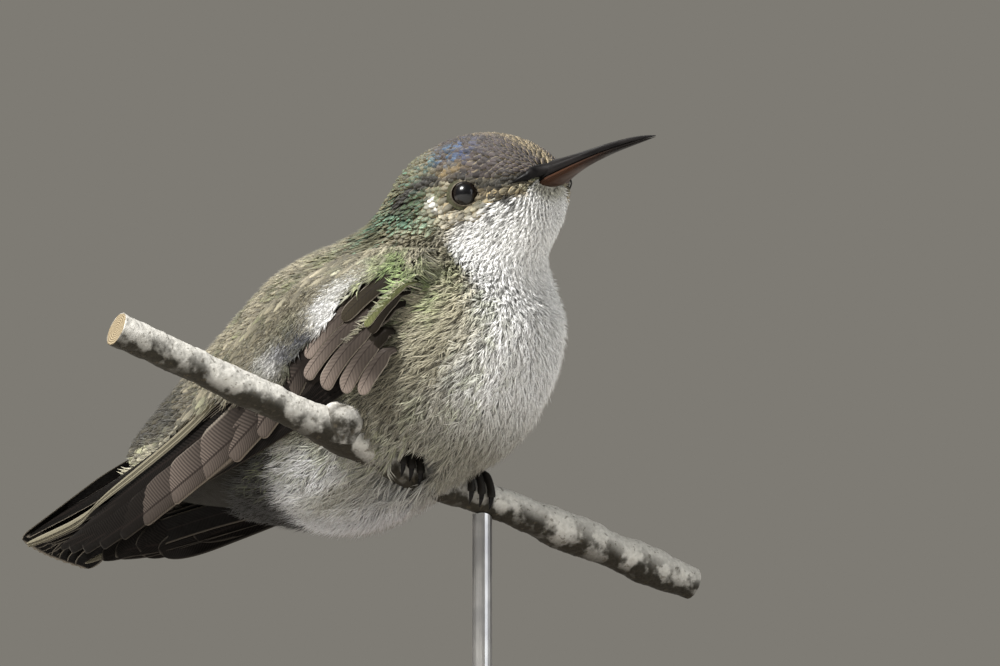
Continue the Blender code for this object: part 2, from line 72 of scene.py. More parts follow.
# Posture
HEAD_CENTRE = (6.8, 36.5)
HEAD_YAW = math.radians(-10.0)
BODY_ROLL = math.radians(8.0)
ROLL_PIVOT = (-5.6, 14.7)
ROLL_PITCH = math.radians(19.5)
ROLL_START = 5.5  # station where the lean of the trunk begins
ROLL_FULL = 11.0  # station where it is complete
KEEL = 0.55  # how much the belly narrows below its widest line

# Sections of the body: the point on the back (x, z), the point on the belly (x, z) and the half-width
BODY_STATIONS = (
    ((20.5, 38.1), (20.3, 35.5), 1.9),
    ((19.2, 39.3), (20.2, 34.3), 3.2),
    ((17.2, 40.7), (20.1, 32.9), 4.3),
    ((14.2, 42.2), (19.8, 31.4), 5.1),
    ((10.2, 43.2), (19.1, 29.7), 5.7),
    ((5.0, 43.4), (17.8, 27.9), 6.2),
    ((-0.1, 42.4), (16.6, 26.0), 6.9),
    ((-4.2, 40.2), (16.3, 23.7), 8.3),
    ((-6.5, 36.7), (16.9, 21.0), 10.2),
    ((-8.8, 33.6), (17.2, 17.9), 12.2),
    ((-13.1, 31.5), (16.5, 13.6), 13.7),
    ((-19.2, 30.0), (14.3, 8.7), 14.5),
    ((-25.0, 27.5), (10.2, 3.8), 14.8),
    ((-29.6, 24.0), (3.2, -0.4), 14.2),
    ((-33.6, 20.9), (-5.0, -3.6), 13.0),
    ((-37.6, 18.2), (-12.5, -5.0), 11.4),
    ((-41.4, 15.3), (-20.5, -4.6), 9.6),
    ((-45.0, 12.1), (-31.0, -3.2), 8.0),
    ((-48.2, 8.9), (-41.0, -1.8), 6.4),
    ((-50.0, 6.3), (-47.4, 0.0), 4.8),
)
BODY_ROWS = np.array([[*back, *belly, half] for back, belly, half in BODY_STATIONS])
LAST_STATION = len(BODY_STATIONS) - 1.0
BEYOND_RUN = (-2.6, 0.0, -1.5)  # how the outline would go on for each station past the last

# Bill and eyes, in the head's own frame
BILL_START = 14.6
BILL_LENGTH = 17.2
BILL_LEVEL = 36.9
BILL_RISE = 2.8
BILL_DROOP = 0.5
GAPE_HALF = (1.05, 0.45)  # half-width of the gape's wedge, on the right and on the left
EYE_AHEAD = 3.5
EYE_SIDE = 4.95
EYE_LEVEL = 35.1
EYE_RADIUS = 1.95
EYE_TURN = 0.72  # how far an eye looks ahead for each unit that it looks out
FACE_HOLLOW = 1.4  # depth of the hollow in front of an eye
BARE_EYE_AHEAD = 0.75  # middle of the bare patch, from the eye's centre
BARE_EYE_SIDE = 5.8
BARE_EYE = (1.85, 2.05)  # radius without feathers, and radius where they are whole

# Feet
FOOT_ALONG = {"right": -5.0, "left": 5.3}
TOE_RADIUS = 0.45
TOE_SPREAD = 1.25
TARSUS_RADIUS = 0.55
TARSUS_LENGTH = 4.2
TOE_POINTS = 90  # points on a toe's arc, with its claw and a spare end
TOE_ROOT = 11  # how many of them run straight from the tarsus
TOE_END = 64
CLAW_START = 58
CLAW_END = 84
GRIP_GAP = 0.3
PARTING_FRONT = 2.6  # middle of the plumage's parting at a foot, from the branch's
PARTING = (2.7, 3.6)  # radius without feathers, and radius where they are whole

# Camera, set about the perch point
CAMERA_TARGET_RIGHT = 8.1
CAMERA_TARGET_UP = 18.9
SENSOR_WIDTH = 36.0
FLOOR_SIDES = 96


def ramp(value, low, high):
    """A ramp from 0 at low to 1 at high, level at both ends."""
    share = np.clip((np.asarray(value, dtype=float) - low) / (high - low), 0.0, 1.0)
    return share * share * (3.0 - 2.0 * share)


def fall(value, low, high):
    """A ramp from 1 at low to 0 at high."""
    return 1.0 - ramp(value, low, high)


def bump(value, centre, width):
    """A soft hill, 1 at its centre and near 0 beyond twice its width."""
    return np.exp(-((np.asarray(value, dtype=float) - centre) / width) ** 2)


def spline(rows, where):
    """Read a smooth curve through evenly numbered rows at the given row numbers (Catmull-Rom)."""
    rows = np.asarray(rows, dtype=float)
    where = np.clip(np.asarray(where, dtype=float), 0.0, len(rows) - 1.0)
    first = np.minimum(where.astype(int), len(rows) - 2)
    part = (where - first)[..., None]
    padded = np.vstack([2.0 * rows[0] - rows[1], rows, 2.0 * rows[-1] - rows[-2]])
    before, start, end, after = (padded[first + step] for step in range(4))
    return start + 0.5 * part * (end - before + part * (
        2.0 * before - 5.0 * start + 4.0 * end - after + part * (3.0 * (start - end) + after - before)))


def read_table(table, where):
    """Read a table of (place, value) pairs at places, in straight lines between its rows."""
    table = np.array(table)
    return np.interp(where, table[:, 0], table[:, 1])


def unit(vectors):
    """Vectors scaled to length 1."""
    return vectors / np.maximum(np.linalg.norm(vectors, axis=-1, keepdims=True), 1e-12)


def turn_head(points):
    """Turn points about the vertical line through the head's centre by the head's yaw."""
    turned = np.array(points, dtype=float)
    ahead = turned[..., 0] - HEAD_CENTRE[0]
    side = turned[..., 1].copy()
    turned[..., 0] = HEAD_CENTRE[0] + ahead * math.cos(HEAD_YAW) - side * math.sin(HEAD_YAW)
    turned[..., 1] = ahead * math.sin(HEAD_YAW) + side * math.cos(HEAD_YAW)
    return turned


def lean(points, share=1.0):
    """Roll points about the bird's long axis by a share of the body's lean, right side up."""
    points = np.array(points, dtype=float)
    axis = np.array([math.cos(ROLL_PITCH), 0.0, math.sin(ROLL_PITCH)])
    pivot = np.array([ROLL_PIVOT[0], 0.0, ROLL_PIVOT[1]])
    angle = (-BODY_ROLL * np.asarray(share, dtype=float))[..., None]
    offset = points - pivot
    along = (offset @ axis)[..., None] * axis
    across = offset - along
    return pivot + along + across * np.cos(angle) + np.cross(axis, across) * np.sin(angle)


def to_model(points):
    """Move points from the perch point's frame in millimetres to the model's frame in metres."""
    return (np.asarray(points, dtype=float) + np.array(PERCH_POINT)) * MM


def body_surface(station, around, posed=True):
    """The body's outline: at each station a two-part ellipse between back and belly, then the pose.

    The point is the middle of the section, plus the rise to the back or belly times the cosine of the
    angle, plus the half-width times its sine, sharpened below into a keel. The head is turned and the
    trunk leaned, each by a share that changes along the body. The face is hollowed in front of each eye
    and a little raised behind it.
    """
    station, around = np.broadcast_arrays(np.asarray(station, dtype=float), np.asarray(around, dtype=float))
    back_x, back_z, belly_x, belly_z, half = np.moveaxis(spline(BODY_ROWS, station), -1, 0)
    upward = np.cos(around)
    sideways = np.sin(around)
    x = 0.5 * (back_x + belly_x) + 0.5 * (back_x - belly_x) * upward
    z = 0.5 * (back_z + belly_z) + 0.5 * (back_z - belly_z) * upward
    keel = 1.0 + KEEL * ramp(station, 11.5, 14.0) * (upward < 0.0)
    y = half * np.sign(sideways) * np.abs(sideways) ** keel
    points = np.stack([x, y, z], axis=-1)
    ahead = x - HEAD_CENTRE[0] - EYE_AHEAD
    hollow = (bump(ahead, 2.4, 1.9) - 0.3 * bump(ahead, -1.9, 1.5)) * bump(z, EYE_LEVEL - 0.2, 2.6)
    points[..., 1] -= FACE_HOLLOW * hollow * np.sign(y) * ramp(np.abs(y), 1.5, 4.0)
    points = points + np.maximum(station - LAST_STATION, 0.0)[..., None] * np.array(BEYOND_RUN)
    if not posed:
        return points
    loose = fall(station, 6.0, 10.0)[..., None]
    points = points + (turn_head(points) - points) * loose
    return lean(points, ramp(station, ROLL_START, ROLL_FULL))


def body_frame(station, around):
    """Outward normal of the outline, and how far it runs per station and per radian, by differences."""
    step = 0.02
    along = (body_surface(station + step, around) - body_surface(station - step, around)) / (2.0 * step)
    across = (body_surface(station, around + step) - body_surface(station, around - step)) / (2.0 * step)
    return unit(np.cross(across, along)), along, across


def from_back(around):
    """The angle from the back down either side, in degrees: 0 on the back and 180 on the belly."""
    return np.degrees(np.arccos(np.clip(np.cos(around), -1.0, 1.0)))


def coat_depth(station):
    """How far the skin lies inside the outline: least on the face and most on the trunk."""
    return 0.42 + 0.95 * ramp(station, 4.0, 10.0) - 0.45 * ramp(station, 15.0, 19.0)


def lattice_noise(points, size, seed):
    """Smooth noise in -1 to 1: random values on a cubic lattice of the given size, blended between."""
    values = np.random.default_rng(seed).uniform(-1.0, 1.0, 4096)
    scaled = np.asarray(points, dtype=float) / size + 1000.0
    cell = np.floor(scaled).astype(np.int64)
    part = scaled - cell
    part = part * part * (3.0 - 2.0 * part)
    total = np.zeros(scaled.shape[:-1])
    for corner in range(8):
        step = np.array([corner & 1, corner >> 1 & 1, corner >> 2 & 1])
        key = (cell + step) @ np.array([73856093, 19349663, 83492791])
        weight = np.prod(np.where(step == 1, part, 1.0 - part), axis=-1)
        total += weight * values[key % 4096]
    return total


def paint(red, green, blue):
    """A colour in linear light from display values of 0 to 255."""
    display = np.array([red, green, blue], dtype=float) / 255.0
    linear = np.where(display <= 0.04045, display / 12.92, ((display + 0.055) / 1.055) ** 2.4)
    return tuple(float(value) for value in linear)


def blend(base, colour, share):
    """Mix an array of colours towards one colour by an array of shares."""
    return base + (np.asarray(colour) - base) * np.asarray(share)[..., None]


# Mesh building -----------------------------------------------

def ring_faces(count, rows, sides):
    """Faces of many like closed tubes: quads between rings, and a fan from each end point.

    Each tube's points are its root point, its rings in order and its tip point.
    """
    size = rows * sides + 2
    base = (np.arange(count) * size)[:, None, None]
    ring = 1 + np.arange(rows)[:, None] * sides + np.arange(sides)[None, :]
    after = np.roll(ring, -1, axis=1)
    quads = np.stack([ring[:-1], after[:-1], after[1:], ring[1:]], axis=-1).reshape(-1, 4)
    root = np.stack([np.zeros(sides, dtype=int), after[0], ring[0]], axis=-1)
    tip = np.stack([np.full(sides, size - 1), ring[-1], after[-1]], axis=-1)
    ends = np.concatenate([root, tip])
    return (base + quads[None]).reshape(-1, 4), (base + ends[None]).reshape(-1, 3)


def tube_points(root, rings, tip):
    """Join root points (n, 3), rings (n, rows, sides, 3) and tip points (n, 3) into (n * size, 3)."""
    rings = rings.reshape(len(rings), -1, 3)
    return np.concatenate([root[:, None], rings, tip[:, None]], axis=1).reshape(-1, 3)


def with_ends(values):
    """The marks of one tube's points from a grid of them: its end points take a value of their ring."""
    return np.concatenate([values[0, :1], values.reshape(-1, *values.shape[2:]), values[-1, :1]])


def outward(points, quads, triangles):
    """Turn all faces over if the closed shapes they bound are inside out: their volume sums below zero."""
    corners = [points[quads[:, index]] for index in range(4)]
    volume = np.einsum("ij,ij->", corners[0], np.cross(corners[1], corners[2]))
    volume += np.einsum("ij,ij->", corners[0], np.cross(corners[2], corners[3]))
    if len(triangles):
        first, second, third = (points[triangles[:, index]] for index in range(3))
        volume += np.einsum("ij,ij->", first, np.cross(second, third))
    if volume < 0.0:
        return quads[:, ::-1], triangles[:, ::-1]
    return quads, triangles


def remove_old(*names):
    """Take away pieces of these names from an earlier run."""
    for name in names:
        if name in bpy.data.objects:
            bpy.data.objects.remove(bpy.data.objects[name])


class Piece:
    """Points, faces and marks of one object, gathered from several like groups before it is built."""

    def __init__(self):
        self.points, self.quads, self.triangles, self.marks, self.size = [], [], [], {}, 0

    def add(self, points, quads, triangles, **marks):
        """Take a group of points in millimetres with its faces and its marks, one value for each point."""
        centred = points - points.mean(axis=0)
        quads, triangles = outward(centred, quads, triangles)
        self.points.append(points)
        self.quads.append(quads + self.size)
        self.triangles.append(triangles + self.size)
        for mark, values in marks.items():
            self.marks.setdefault(mark, []).append(np.asarray(values, dtype=float))
        self.size += len(points)

    def build(self, name, surface, slot, replaces=()):
        """Make the object: its mesh, its UV map and attributes, its material, and what it stands for."""
        remove_old(name)
        points = to_model(np.concatenate(self.points))
        quads = np.concatenate(self.quads)
        triangles = np.concatenate(self.triangles)
        corners = np.concatenate([quads.reshape(-1), triangles.reshape(-1)]).astype(np.int32)
        starts = np.concatenate([np.arange(len(quads)) * 4, len(quads) * 4 + np.arange(len(triangles)) * 3])
        mesh = bpy.data.meshes.new(name)
        mesh.vertices.add(len(points))
        mesh.vertices.foreach_set("co", points.astype(np.float32).reshape(-1))
        mesh.loops.add(len(corners))
        mesh.loops.foreach_set("vertex_index", corners)
        mesh.polygons.add(len(starts))
        mesh.polygons.foreach_set("loop_start", starts.astype(np.int32))
        mesh.update(calc_edges=True)
        mesh.shade_smooth()
        for mark, values in self.marks.items():
            values = np.concatenate(values).astype(np.float32)
            if mark == "OFBake":
                mesh.uv_layers.new(name=mark).data.foreach_set("uv", values[corners].reshape(-1))
            elif values.ndim == 2:
                opaque = np.pad(values, ((0, 0), (0, 1)), constant_values=1.0).reshape(-1)
                mesh.attributes.new(mark, "FLOAT_COLOR", "POINT").data.foreach_set("color", opaque)
            else:
                mesh.attributes.new(mark, "FLOAT", "POINT").data.foreach_set("value", values)
        mesh.validate()
        made = bpy.data.objects.new(name, mesh)
        bpy.context.scene.collection.objects.link(made)
        mesh.materials.append(surface)
        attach(made, "root")
        if replaces:
            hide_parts(*replaces)
        return made


def closed_grid(grid):
    """Faces of one closed tube given as a grid of rings (rows, sides, 3), with its end points."""
    rows, sides = grid.shape[:2]
    quads, triangles = ring_faces(1, rows, sides)
    return tube_points(grid[0].mean(axis=0)[None], grid[None], grid[-1].mean(axis=0)[None]), quads, triangles


def angles(count):
    """So many angles, evenly round a circle."""
    return np.linspace(0.0, TURN, count, endpoint=False)


def spokes(first, second, sides):
    """Directions round a path: the cosine of the angle times one vector plus the sine times another."""
    around = angles(sides)[:, None]
    return first[:, None] * np.cos(around) + second[:, None] * np.sin(around)


def frames_along(points):
    """Unit tangents of a path, with a level and an upward unit vector square to each."""
    tangent = unit(np.gradient(points, axis=0))
    level = unit(np.cross(tangent, [0.0, 0.0, 1.0]))
    return tangent, level, np.cross(level, tangent)


def perch_point(along):
    """The branch's centre line: straight in plan, bent up and down along its length."""
    path = np.array(PERCH_PATH)
    row = np.interp(along, path[:, 0], np.arange(len(path)))
    read = spline(path, np.atleast_1d(row))
    flat = read[:, 0]
    points = np.stack([flat * math.cos(PERCH_HEADING), flat * math.sin(PERCH_HEADING), read[:, 1]], axis=1)
    return points if np.ndim(along) else points[0]


def perch_radius(along):
    """The branch's radius, with its swellings at the knot and towards the lower end."""
    swellings = (height * bump(along, centre, width) for height, centre, width in PERCH_SWELLINGS)
    return PERCH_RADIUS + sum(swellings)


# Materials ---------------------------------------------------

class Nodes:
    """Short ways to add nodes to a shader tree; each gives back an output of the node that it adds."""

    def __init__(self, tree):
        self.tree = tree

    def add(self, kind, inputs=(), output=0, **settings):
        """Add a node, set it up, and link or set its inputs by name or number."""
        node = self.tree.nodes.new(f"ShaderNode{kind}")
        for setting, value in settings.items():
            setattr(node, setting, value)
        for socket, value in dict(inputs).items():
            if isinstance(value, bpy.types.NodeSocket):
                self.tree.links.new(value, node.inputs[socket])
            else:
                node.inputs[socket].default_value = value
        return node.outputs[output]

    def mark(self, name, output="Fac"):
        """Read one of the mesh's attributes."""
        return self.add("Attribute", output=output, attribute_name=name)

    def math(self, operation, *values, clamp=True):
        """One step of arithmetic on values or sockets, kept to 0 to 1 unless clamp is off."""
        return self.add("Math", dict(enumerate(values)), operation=operation, use_clamp=clamp)

    def times(self, first, second):
        """A product, kept to 0 to 1."""
        return self.math("MULTIPLY", first, second)

    def waves(self, first, second):
        """The sine of a product, brought to 0 to 1."""
        phase = self.math("MULTIPLY", first, second, clamp=False)
        return self.math("MULTIPLY_ADD", self.math("SINE", phase, clamp=False), 0.5, 0.5)

    def mix(self, share, first, second, blend_type="MIX"):
        """Mix two colours, each a socket or three numbers, by a share."""
        first, second = (colour if isinstance(colour, bpy.types.NodeSocket) else (*colour, 1.0)
                         for colour in (first, second))
        return self.add("Mix", {"Factor": share, 6: first, 7: second}, output=2, data_type="RGBA",
                        blend_type=blend_type)

    def noise(self, scale, detail=3.0, stretch=None):
        """Noise that stays with the object, with its features as many to the metre as the scale says."""
        where = self.add("TexCoord", output="Object")
        if stretch:
            where = self.add("Mapping", {"Vector": where, "Scale": stretch})
        return self.add("TexNoise", {"Vector": where, "Scale": scale, "Detail": detail})

    def ramp(self, value, low, high, start=0.0, end=1.0):
        """Stretch a value's range low to high to start to end, smoothly."""
        return self.add("MapRange", {0: value, 1: low, 2: high, 3: start, 4: end},
                        interpolation_type="SMOOTHSTEP")

    def pattern(self, group, **values):
        """Place a node group with values for its named inputs; gives back all its outputs."""
        node = self.tree.nodes.new("ShaderNodeGroup")
        node.node_tree = group
        for socket, value in values.items():
            node.inputs[socket.replace("_", " ")].default_value = value
        return node.outputs


class Finish(Nodes):
    """A material with plain values on its Principled shader."""

    def __init__(self, name, **constants):
        self.material = bpy.data.materials.new(name)
        self.material.use_nodes = True
        super().__init__(self.material.node_tree)
        self.shader = self.tree.nodes["Principled BSDF"]
        for socket, value in constants.items():
            self.shader.inputs[socket.replace("_", " ")].default_value = value

    def feed(self, **values):
        """Link outputs to the shader's inputs of these names."""
        for socket, value in values.items():
            self.tree.links.new(value, self.shader.inputs[socket.replace("_", " ")])

    def relief(self, height, strength, depth):
        """Roughen the surface by a height map, to a depth in metres."""
        self.feed(Normal=self.add("Bump", {"Height": height, "Strength": strength, "Distance": depth}))


class Group(Nodes):
    """A shader node group with named value inputs and outputs."""

    def __init__(self, name, inputs, outputs):
        super().__init__(bpy.data.node_groups.new(name, "ShaderNodeTree"))
        for socket, default in inputs.items():
            made = self.tree.interface.new_socket(socket, in_out="INPUT", socket_type="NodeSocketFloat")
            made.default_value = default
        for socket in outputs:
            self.tree.interface.new_socket(socket, in_out="OUTPUT", socket_type="NodeSocketFloat")
        self.start = self.tree.nodes.new("NodeGroupInput").outputs
        self.end = self.tree.nodes.new("NodeGroupOutput").inputs

    def give(self, **values):
        """Link values to the group's outputs of these names."""
        for socket, value in values.items():
            self.tree.links.new(value, self.end[socket])


def feather_pattern():
    """The group that draws a vane: slanting barb lines, the shaft, and the rim of the vane.

    Lines are a sine of the reach mark, in millimetres along and out from the shaft, times the barbs to
    the millimetre. The shaft is where the across mark is near 0, and the rim where it or the along mark
    nears 1.
    """
    if "Feather pattern" in bpy.data.node_groups:
        return bpy.data.node_groups["Feather pattern"]
    vane = Group("Feather pattern", {"Barbs": 3.5, "Shaft width": 0.06, "Rim start": 0.8},
                 ("Lines", "Shaft", "Rim"))
    breadth = vane.math("ABSOLUTE", vane.mark("Across"))
    turns = vane.math("MULTIPLY", vane.start["Barbs"], TURN, clamp=False)
    edge = vane.start["Rim start"]
    sides = vane.ramp(breadth, edge, vane.math("ADD", edge, 0.17, clamp=False))
    tip = vane.ramp(vane.mark("Along"), 0.965, 0.995)
    vane.give(Lines=vane.waves(turns, vane.mark("Reach")), Rim=vane.math("MAXIMUM", sides, tip),
              Shaft=vane.math("LESS_THAN", breadth, vane.start["Shaft width"], clamp=False))
    return vane.tree


def mottle_pattern():
    """The group that gives patches: coarse noise sharpened about its middle, with fine noise laid over it."""
    if "Mottle" in bpy.data.node_groups:
        return bpy.data.node_groups["Mottle"]
    spots = Group("Mottle", {"Scale": 300.0, "Fine scale": 2500.0, "Level": 0.5, "Edge": 0.08},
                  ("Patches", "Fine"))
    level, edge = spots.start["Level"], spots.start["Edge"]
    low, high = (spots.math(step, level, edge, clamp=False) for step in ("SUBTRACT", "ADD"))
    spots.give(Patches=spots.ramp(spots.noise(spots.start["Scale"], 4.0), low, high),
               Fine=spots.noise(spots.start["Fine scale"]))
    return spots.tree


def plumage_material(name, roughness, barbs=3.0, lines=0.0, fringe=0.0):
    """Body feathers: the tint mark, darker between barbs, with a tan fringe, glittering by its mark."""
    coat = Finish(name, Roughness=roughness, Sheen_Weight=0.1, Sheen_Roughness=0.5, Specular_IOR_Level=0.3)
    vane = coat.pattern(feather_pattern(), Barbs=barbs, Shaft_width=0.05, Rim_start=0.62)
    darker = coat.mix(coat.times(vane["Lines"], lines), coat.mark("Tint", "Color"), (0.02, 0.018, 0.012))
    rim = coat.times(coat.times(vane["Rim"], coat.mark("Pale")), fringe)
    grain = coat.ramp(coat.noise(2600.0), 0.3, 0.7, 0.86, 1.1)
    grey = coat.add("CombineColor", {0: grain, 1: grain, 2: grain})
    coat.feed(Base_Color=coat.mix(1.0, coat.mix(rim, darker, paint(186, 168, 130)), grey, "MULTIPLY"),
              Metallic=coat.times(coat.mark("Glitter"), 0.6),
              Roughness=coat.ramp(coat.mark("Glitter"), 0.0, 1.0, roughness, 0.34))
    coat.relief(vane["Lines"], strength=0.35, depth=0.00004)
    return coat.material


def flight_material(name, lines, barbs):
    """Flight feathers: tint, fine barb lines, a dark shaft, and a pale worn rim by its mark."""
    web = Finish(name, Roughness=0.55, Specular_IOR_Level=0.04)
    vane = web.pattern(feather_pattern(), Barbs=barbs, Shaft_width=0.05, Rim_start=0.84)
    lined = web.mix(web.times(vane["Lines"], lines), web.mark("Tint", "Color"), (0.012, 0.010, 0.009))
    shafted = web.mix(web.times(vane["Shaft"], 0.75), lined, (0.012, 0.009, 0.008))
    worn = web.times(vane["Rim"], web.mark("Pale"))
    web.feed(Base_Color=web.mix(worn, shafted, paint(176, 166, 152)),
             Roughness=web.ramp(web.noise(1500.0), 0.3, 0.7, 0.48, 0.65))
    web.relief(vane["Lines"], strength=0.4, depth=0.00003)
    return web.material


def bark_material():
    """Grey bark: pale on the upper side as painted light from above, with pale lichen in patches; brown
    below, darkened as painted shade; fine cracks, ringed cut ends.
    """
    bark = Finish("bark", Roughness=0.85, Specular_IOR_Level=0.25)
    mottle = bark.pattern(mottle_pattern(), Scale=420.0, Fine_scale=2200.0, Level=0.5, Edge=0.1)
    patches, fine = mottle["Patches"], mottle["Fine"]
    # the up-facing mark paints the top pale as lit and the underside dark brown as shaded; the patches add
    # real lichen
    upper = bark.ramp(bark.math("MULTIPLY_ADD", patches, 0.3, bark.mark("Upper")), 0.25, 0.85)
    brown = bark.mix(fine, paint(24, 22, 17), paint(54, 50, 41))
    lichen_and_lit_top = bark.mix(fine, paint(168, 165, 157), paint(222, 220, 214))
    specks = bark.times(bark.ramp(bark.noise(1500.0, 5.0), 0.60, 0.66), 0.55)
    rind = bark.mix(specks, bark.mix(upper, brown, lichen_and_lit_top), paint(70, 63, 50))
    wood = bark.mix(bark.waves(bark.mark("Ring"), 44.0), paint(96, 84, 64), paint(158, 144, 118))
    bark.feed(Base_Color=bark.mix(bark.mark("Cut"), rind, wood))
    bark.relief(bark.times(fine, 0.6), strength=0.8, depth=0.00025)
    return bark.material


def horn_material(name, dark, warm, roughness):
    """Horn: a dark colour that turns warm by its mark, with faint lengthwise streaks."""
    horn = Finish(name, Roughness=roughness, Specular_IOR_Level=0.09)
    streaks = horn.ramp(horn.noise(900.0, 4.0, (0.15, 1.0, 1.0)), 0.35, 0.7)
    base = horn.mix(horn.mark("Warm"), dark, warm)
    horn.feed(Base_Color=horn.mix(horn.times(streaks, 0.35), base, (0.02, 0.017, 0.016)),
              Roughness=horn.ramp(streaks, 0.0, 1.0, roughness, roughness + 0.15))
    horn.relief(streaks, strength=0.25, depth=0.00005)
    return horn.material


def wood_material():
    """Dark stained wood: long grain lines bent by noise, under a satin finish."""
    wood = Finish("stand_wood_finish", Roughness=0.42, Coat_Weight=0.2, Coat_Roughness=0.3)
    grain = wood.ramp(wood.noise(60.0, 6.0, (1.0, 14.0, 3.0)), 0.35, 0.68)
    pores = wood.ramp(wood.noise(260.0, 4.0, (1.0, 22.0, 6.0)), 0.56, 0.66)
    base = wood.mix(grain, paint(66, 42, 26), paint(112, 76, 48))
    wood.feed(Base_Color=wood.mix(wood.times(pores, 0.6), base, paint(34, 21, 13)),
              Roughness=wood.ramp(pores, 0.0, 1.0, 0.38, 0.6))
    wood.relief(wood.math("SUBTRACT", 1.0, pores), strength=0.3, depth=0.00008)
    return wood.material


def steel_material():
    """Brushed steel: fine upright streaks in roughness and relief."""
    steel = Finish("stand_steel_finish", Metallic=1.0, Roughness=0.3, Base_Color=(0.42, 0.42, 0.43, 1.0))
    streaks = steel.noise(900.0, 3.0, (1.0, 1.0, 0.03))
    clouds = steel.ramp(steel.noise(240.0), 0.4, 0.7)
    steel.feed(Roughness=steel.ramp(streaks, 0.3, 0.7, 0.24, 0.42),
               Base_Color=steel.mix(clouds, (0.36, 0.36, 0.37), (0.50, 0.50, 0.50)))
    steel.relief(streaks, strength=0.15, depth=0.00003)
    return steel.material


def skin_material():
    """Skin and the roots of the down: the tint mark, mottled and pored."""
    skin = Finish("skin", Roughness=0.85, Specular_IOR_Level=0.2)
    mottle = skin.pattern(mottle_pattern(), Scale=900.0, Fine_scale=3800.0, Level=0.5, Edge=0.2)
    skin.feed(Base_Color=skin.mix(skin.times(mottle["Patches"], 0.4), skin.mark("Tint", "Color"),
                                  (0.03, 0.028, 0.024)))
    skin.relief(mottle["Fine"], strength=0.7, depth=0.0002)
    return skin.material


def lid_material():
    """Bare eyelids: the tint mark, darker in fine wrinkles."""
    lid = Finish("eyelid", Roughness=0.7, Specular_IOR_Level=0.1)
    wrinkle = lid.ramp(lid.noise(3200.0, 4.0), 0.35, 0.65)
    lid.feed(Base_Color=lid.mix(lid.times(wrinkle, 0.35), lid.mark("Tint", "Color"), (0.02, 0.017, 0.012)))
    lid.relief(wrinkle, strength=0.6, depth=0.00008)
    return lid.material


def eye_material():
    """A wet black eye: a pupil, a very dark brown iris, and a clear coat over both."""
    eye = Finish("eye_black", Roughness=0.25, Specular_IOR_Level=0.25, Coat_Weight=0.4, Coat_Roughness=0.06)
    iris = eye.ramp(eye.mark("Along"), 0.17, 0.20)
    fibres = eye.ramp(eye.noise(2600.0), 0.3, 0.7)
    brown = eye.mix(fibres, paint(9, 6, 5), paint(20, 13, 10))
    eye.feed(Base_Color=eye.mix(iris, (0.002, 0.002, 0.003), brown))
    return eye.material


def floor_material(colour):
    """Pale matt paint, a little uneven."""
    paintwork = Finish("floor_paint", Roughness=0.8, Specular_IOR_Level=0.2)
    faint = paintwork.ramp(paintwork.noise(30.0, 5.0), 0.3, 0.7)
    paintwork.feed(Base_Color=paintwork.mix(faint, colour, [value * 0.96 for value in colour]))
    return paintwork.material


# Wing and flank surfaces -------------------------------------

# Folded wing, from the wrist to the tip: centre (x, z), half-breadth, least distance from the middle
# plane and thickness
WING_STATIONS = (
    ((8.0, 24.6), 2.2, 11.4, 1.5),
    ((3.0, 22.4), 4.8, 13.2, 1.6),
    ((-4.0, 18.8), 6.3, 14.0, 1.4),
    ((-11.5, 14.6), 6.9, 14.0, 1.2),
    ((-19.5, 9.2), 6.4, 13.2, 1.1),
    ((-28.0, 3.8), 5.8, 12.2, 1.0),
    ((-36.8, -0.4), 4.9, 11.2, 0.9),
    ((-45.6, -4.0), 3.6, 10.0, 0.8),
    ((-55.0, -7.3), 0.9, 8.8, 0.7),
)
WING_ROWS = np.array([[*centre, half, out, thick] for centre, half, out, thick in WING_STATIONS])
WING_TILT = 0.9  # how far the upper edge leans in over the back
WING_BOW = 1.1  # how far both edges curl in from the middle
WING_CLEARANCE = 0.45
# edges of the coat over the folded wing: in front of it as (z, x), and above it as (x, z)
FRONT_LINE = ((0.0, 0.2), (8.5, 0.0), (9.7, 0.5), (15.4, 2.4), (17.0, 4.6), (18.9, 5.3), (21.0, 5.6),
              (24.3, 5.8), (30.0, 6.0))
UPPER_LINE = ((-45.0, 1.6), (-40.7, 3.2), (-32.0, 6.6), (-23.0, 10.0), (-17.0, 9.6), (-12.0, 8.8),
              (-10.1, 10.3), (-8.8, 12.5), (-6.9, 14.4), (-5.0, 15.8), (-2.7, 17.1), (-1.6, 18.1),
              (-0.9, 20.0), (1.3, 21.4), (3.3, 22.7), (6.4, 23.8), (12.0, 27.0))
MAP_X = (-72.0, 24.0)
MAP_Z = (-16.0, 46.0)
MAP_STEP = 0.25


def map_axes():
    """The grid that the flank and wing maps are worked out on, in x and z."""
    x = np.arange(MAP_X[0], MAP_X[1] + MAP_STEP, MAP_STEP)
    z = np.arange(MAP_Z[0], MAP_Z[1] + MAP_STEP, MAP_STEP)
    return x, z


def read_map(grid, x, z):
    """Read a map at points by blending its four nearest values."""
    column = np.clip((np.asarray(x) - MAP_X[0]) / MAP_STEP, 0.0, grid.shape[0] - 1.001)
    row = np.clip((np.asarray(z) - MAP_Z[0]) / MAP_STEP, 0.0, grid.shape[1] - 1.001)
    i, j = column.astype(int), row.astype(int)
    u, v = column - i, row - j
    return ((grid[i, j] * (1 - u) + grid[i + 1, j] * u) * (1 - v)
            + (grid[i, j + 1] * (1 - u) + grid[i + 1, j + 1] * u) * v)


def soften(grid, times):
    """Blur a map by averaging each value with its neighbours, several times."""
    for _ in range(times):
        padded = np.pad(grid, 1, mode="edge")
        grid = (padded[:-2, 1:-1] + padded[2:, 1:-1] + padded[1:-1, :-2] + padded[1:-1, 2:]
                + 2.0 * padded[1:-1, 1:-1]) / 6.0
    return grid


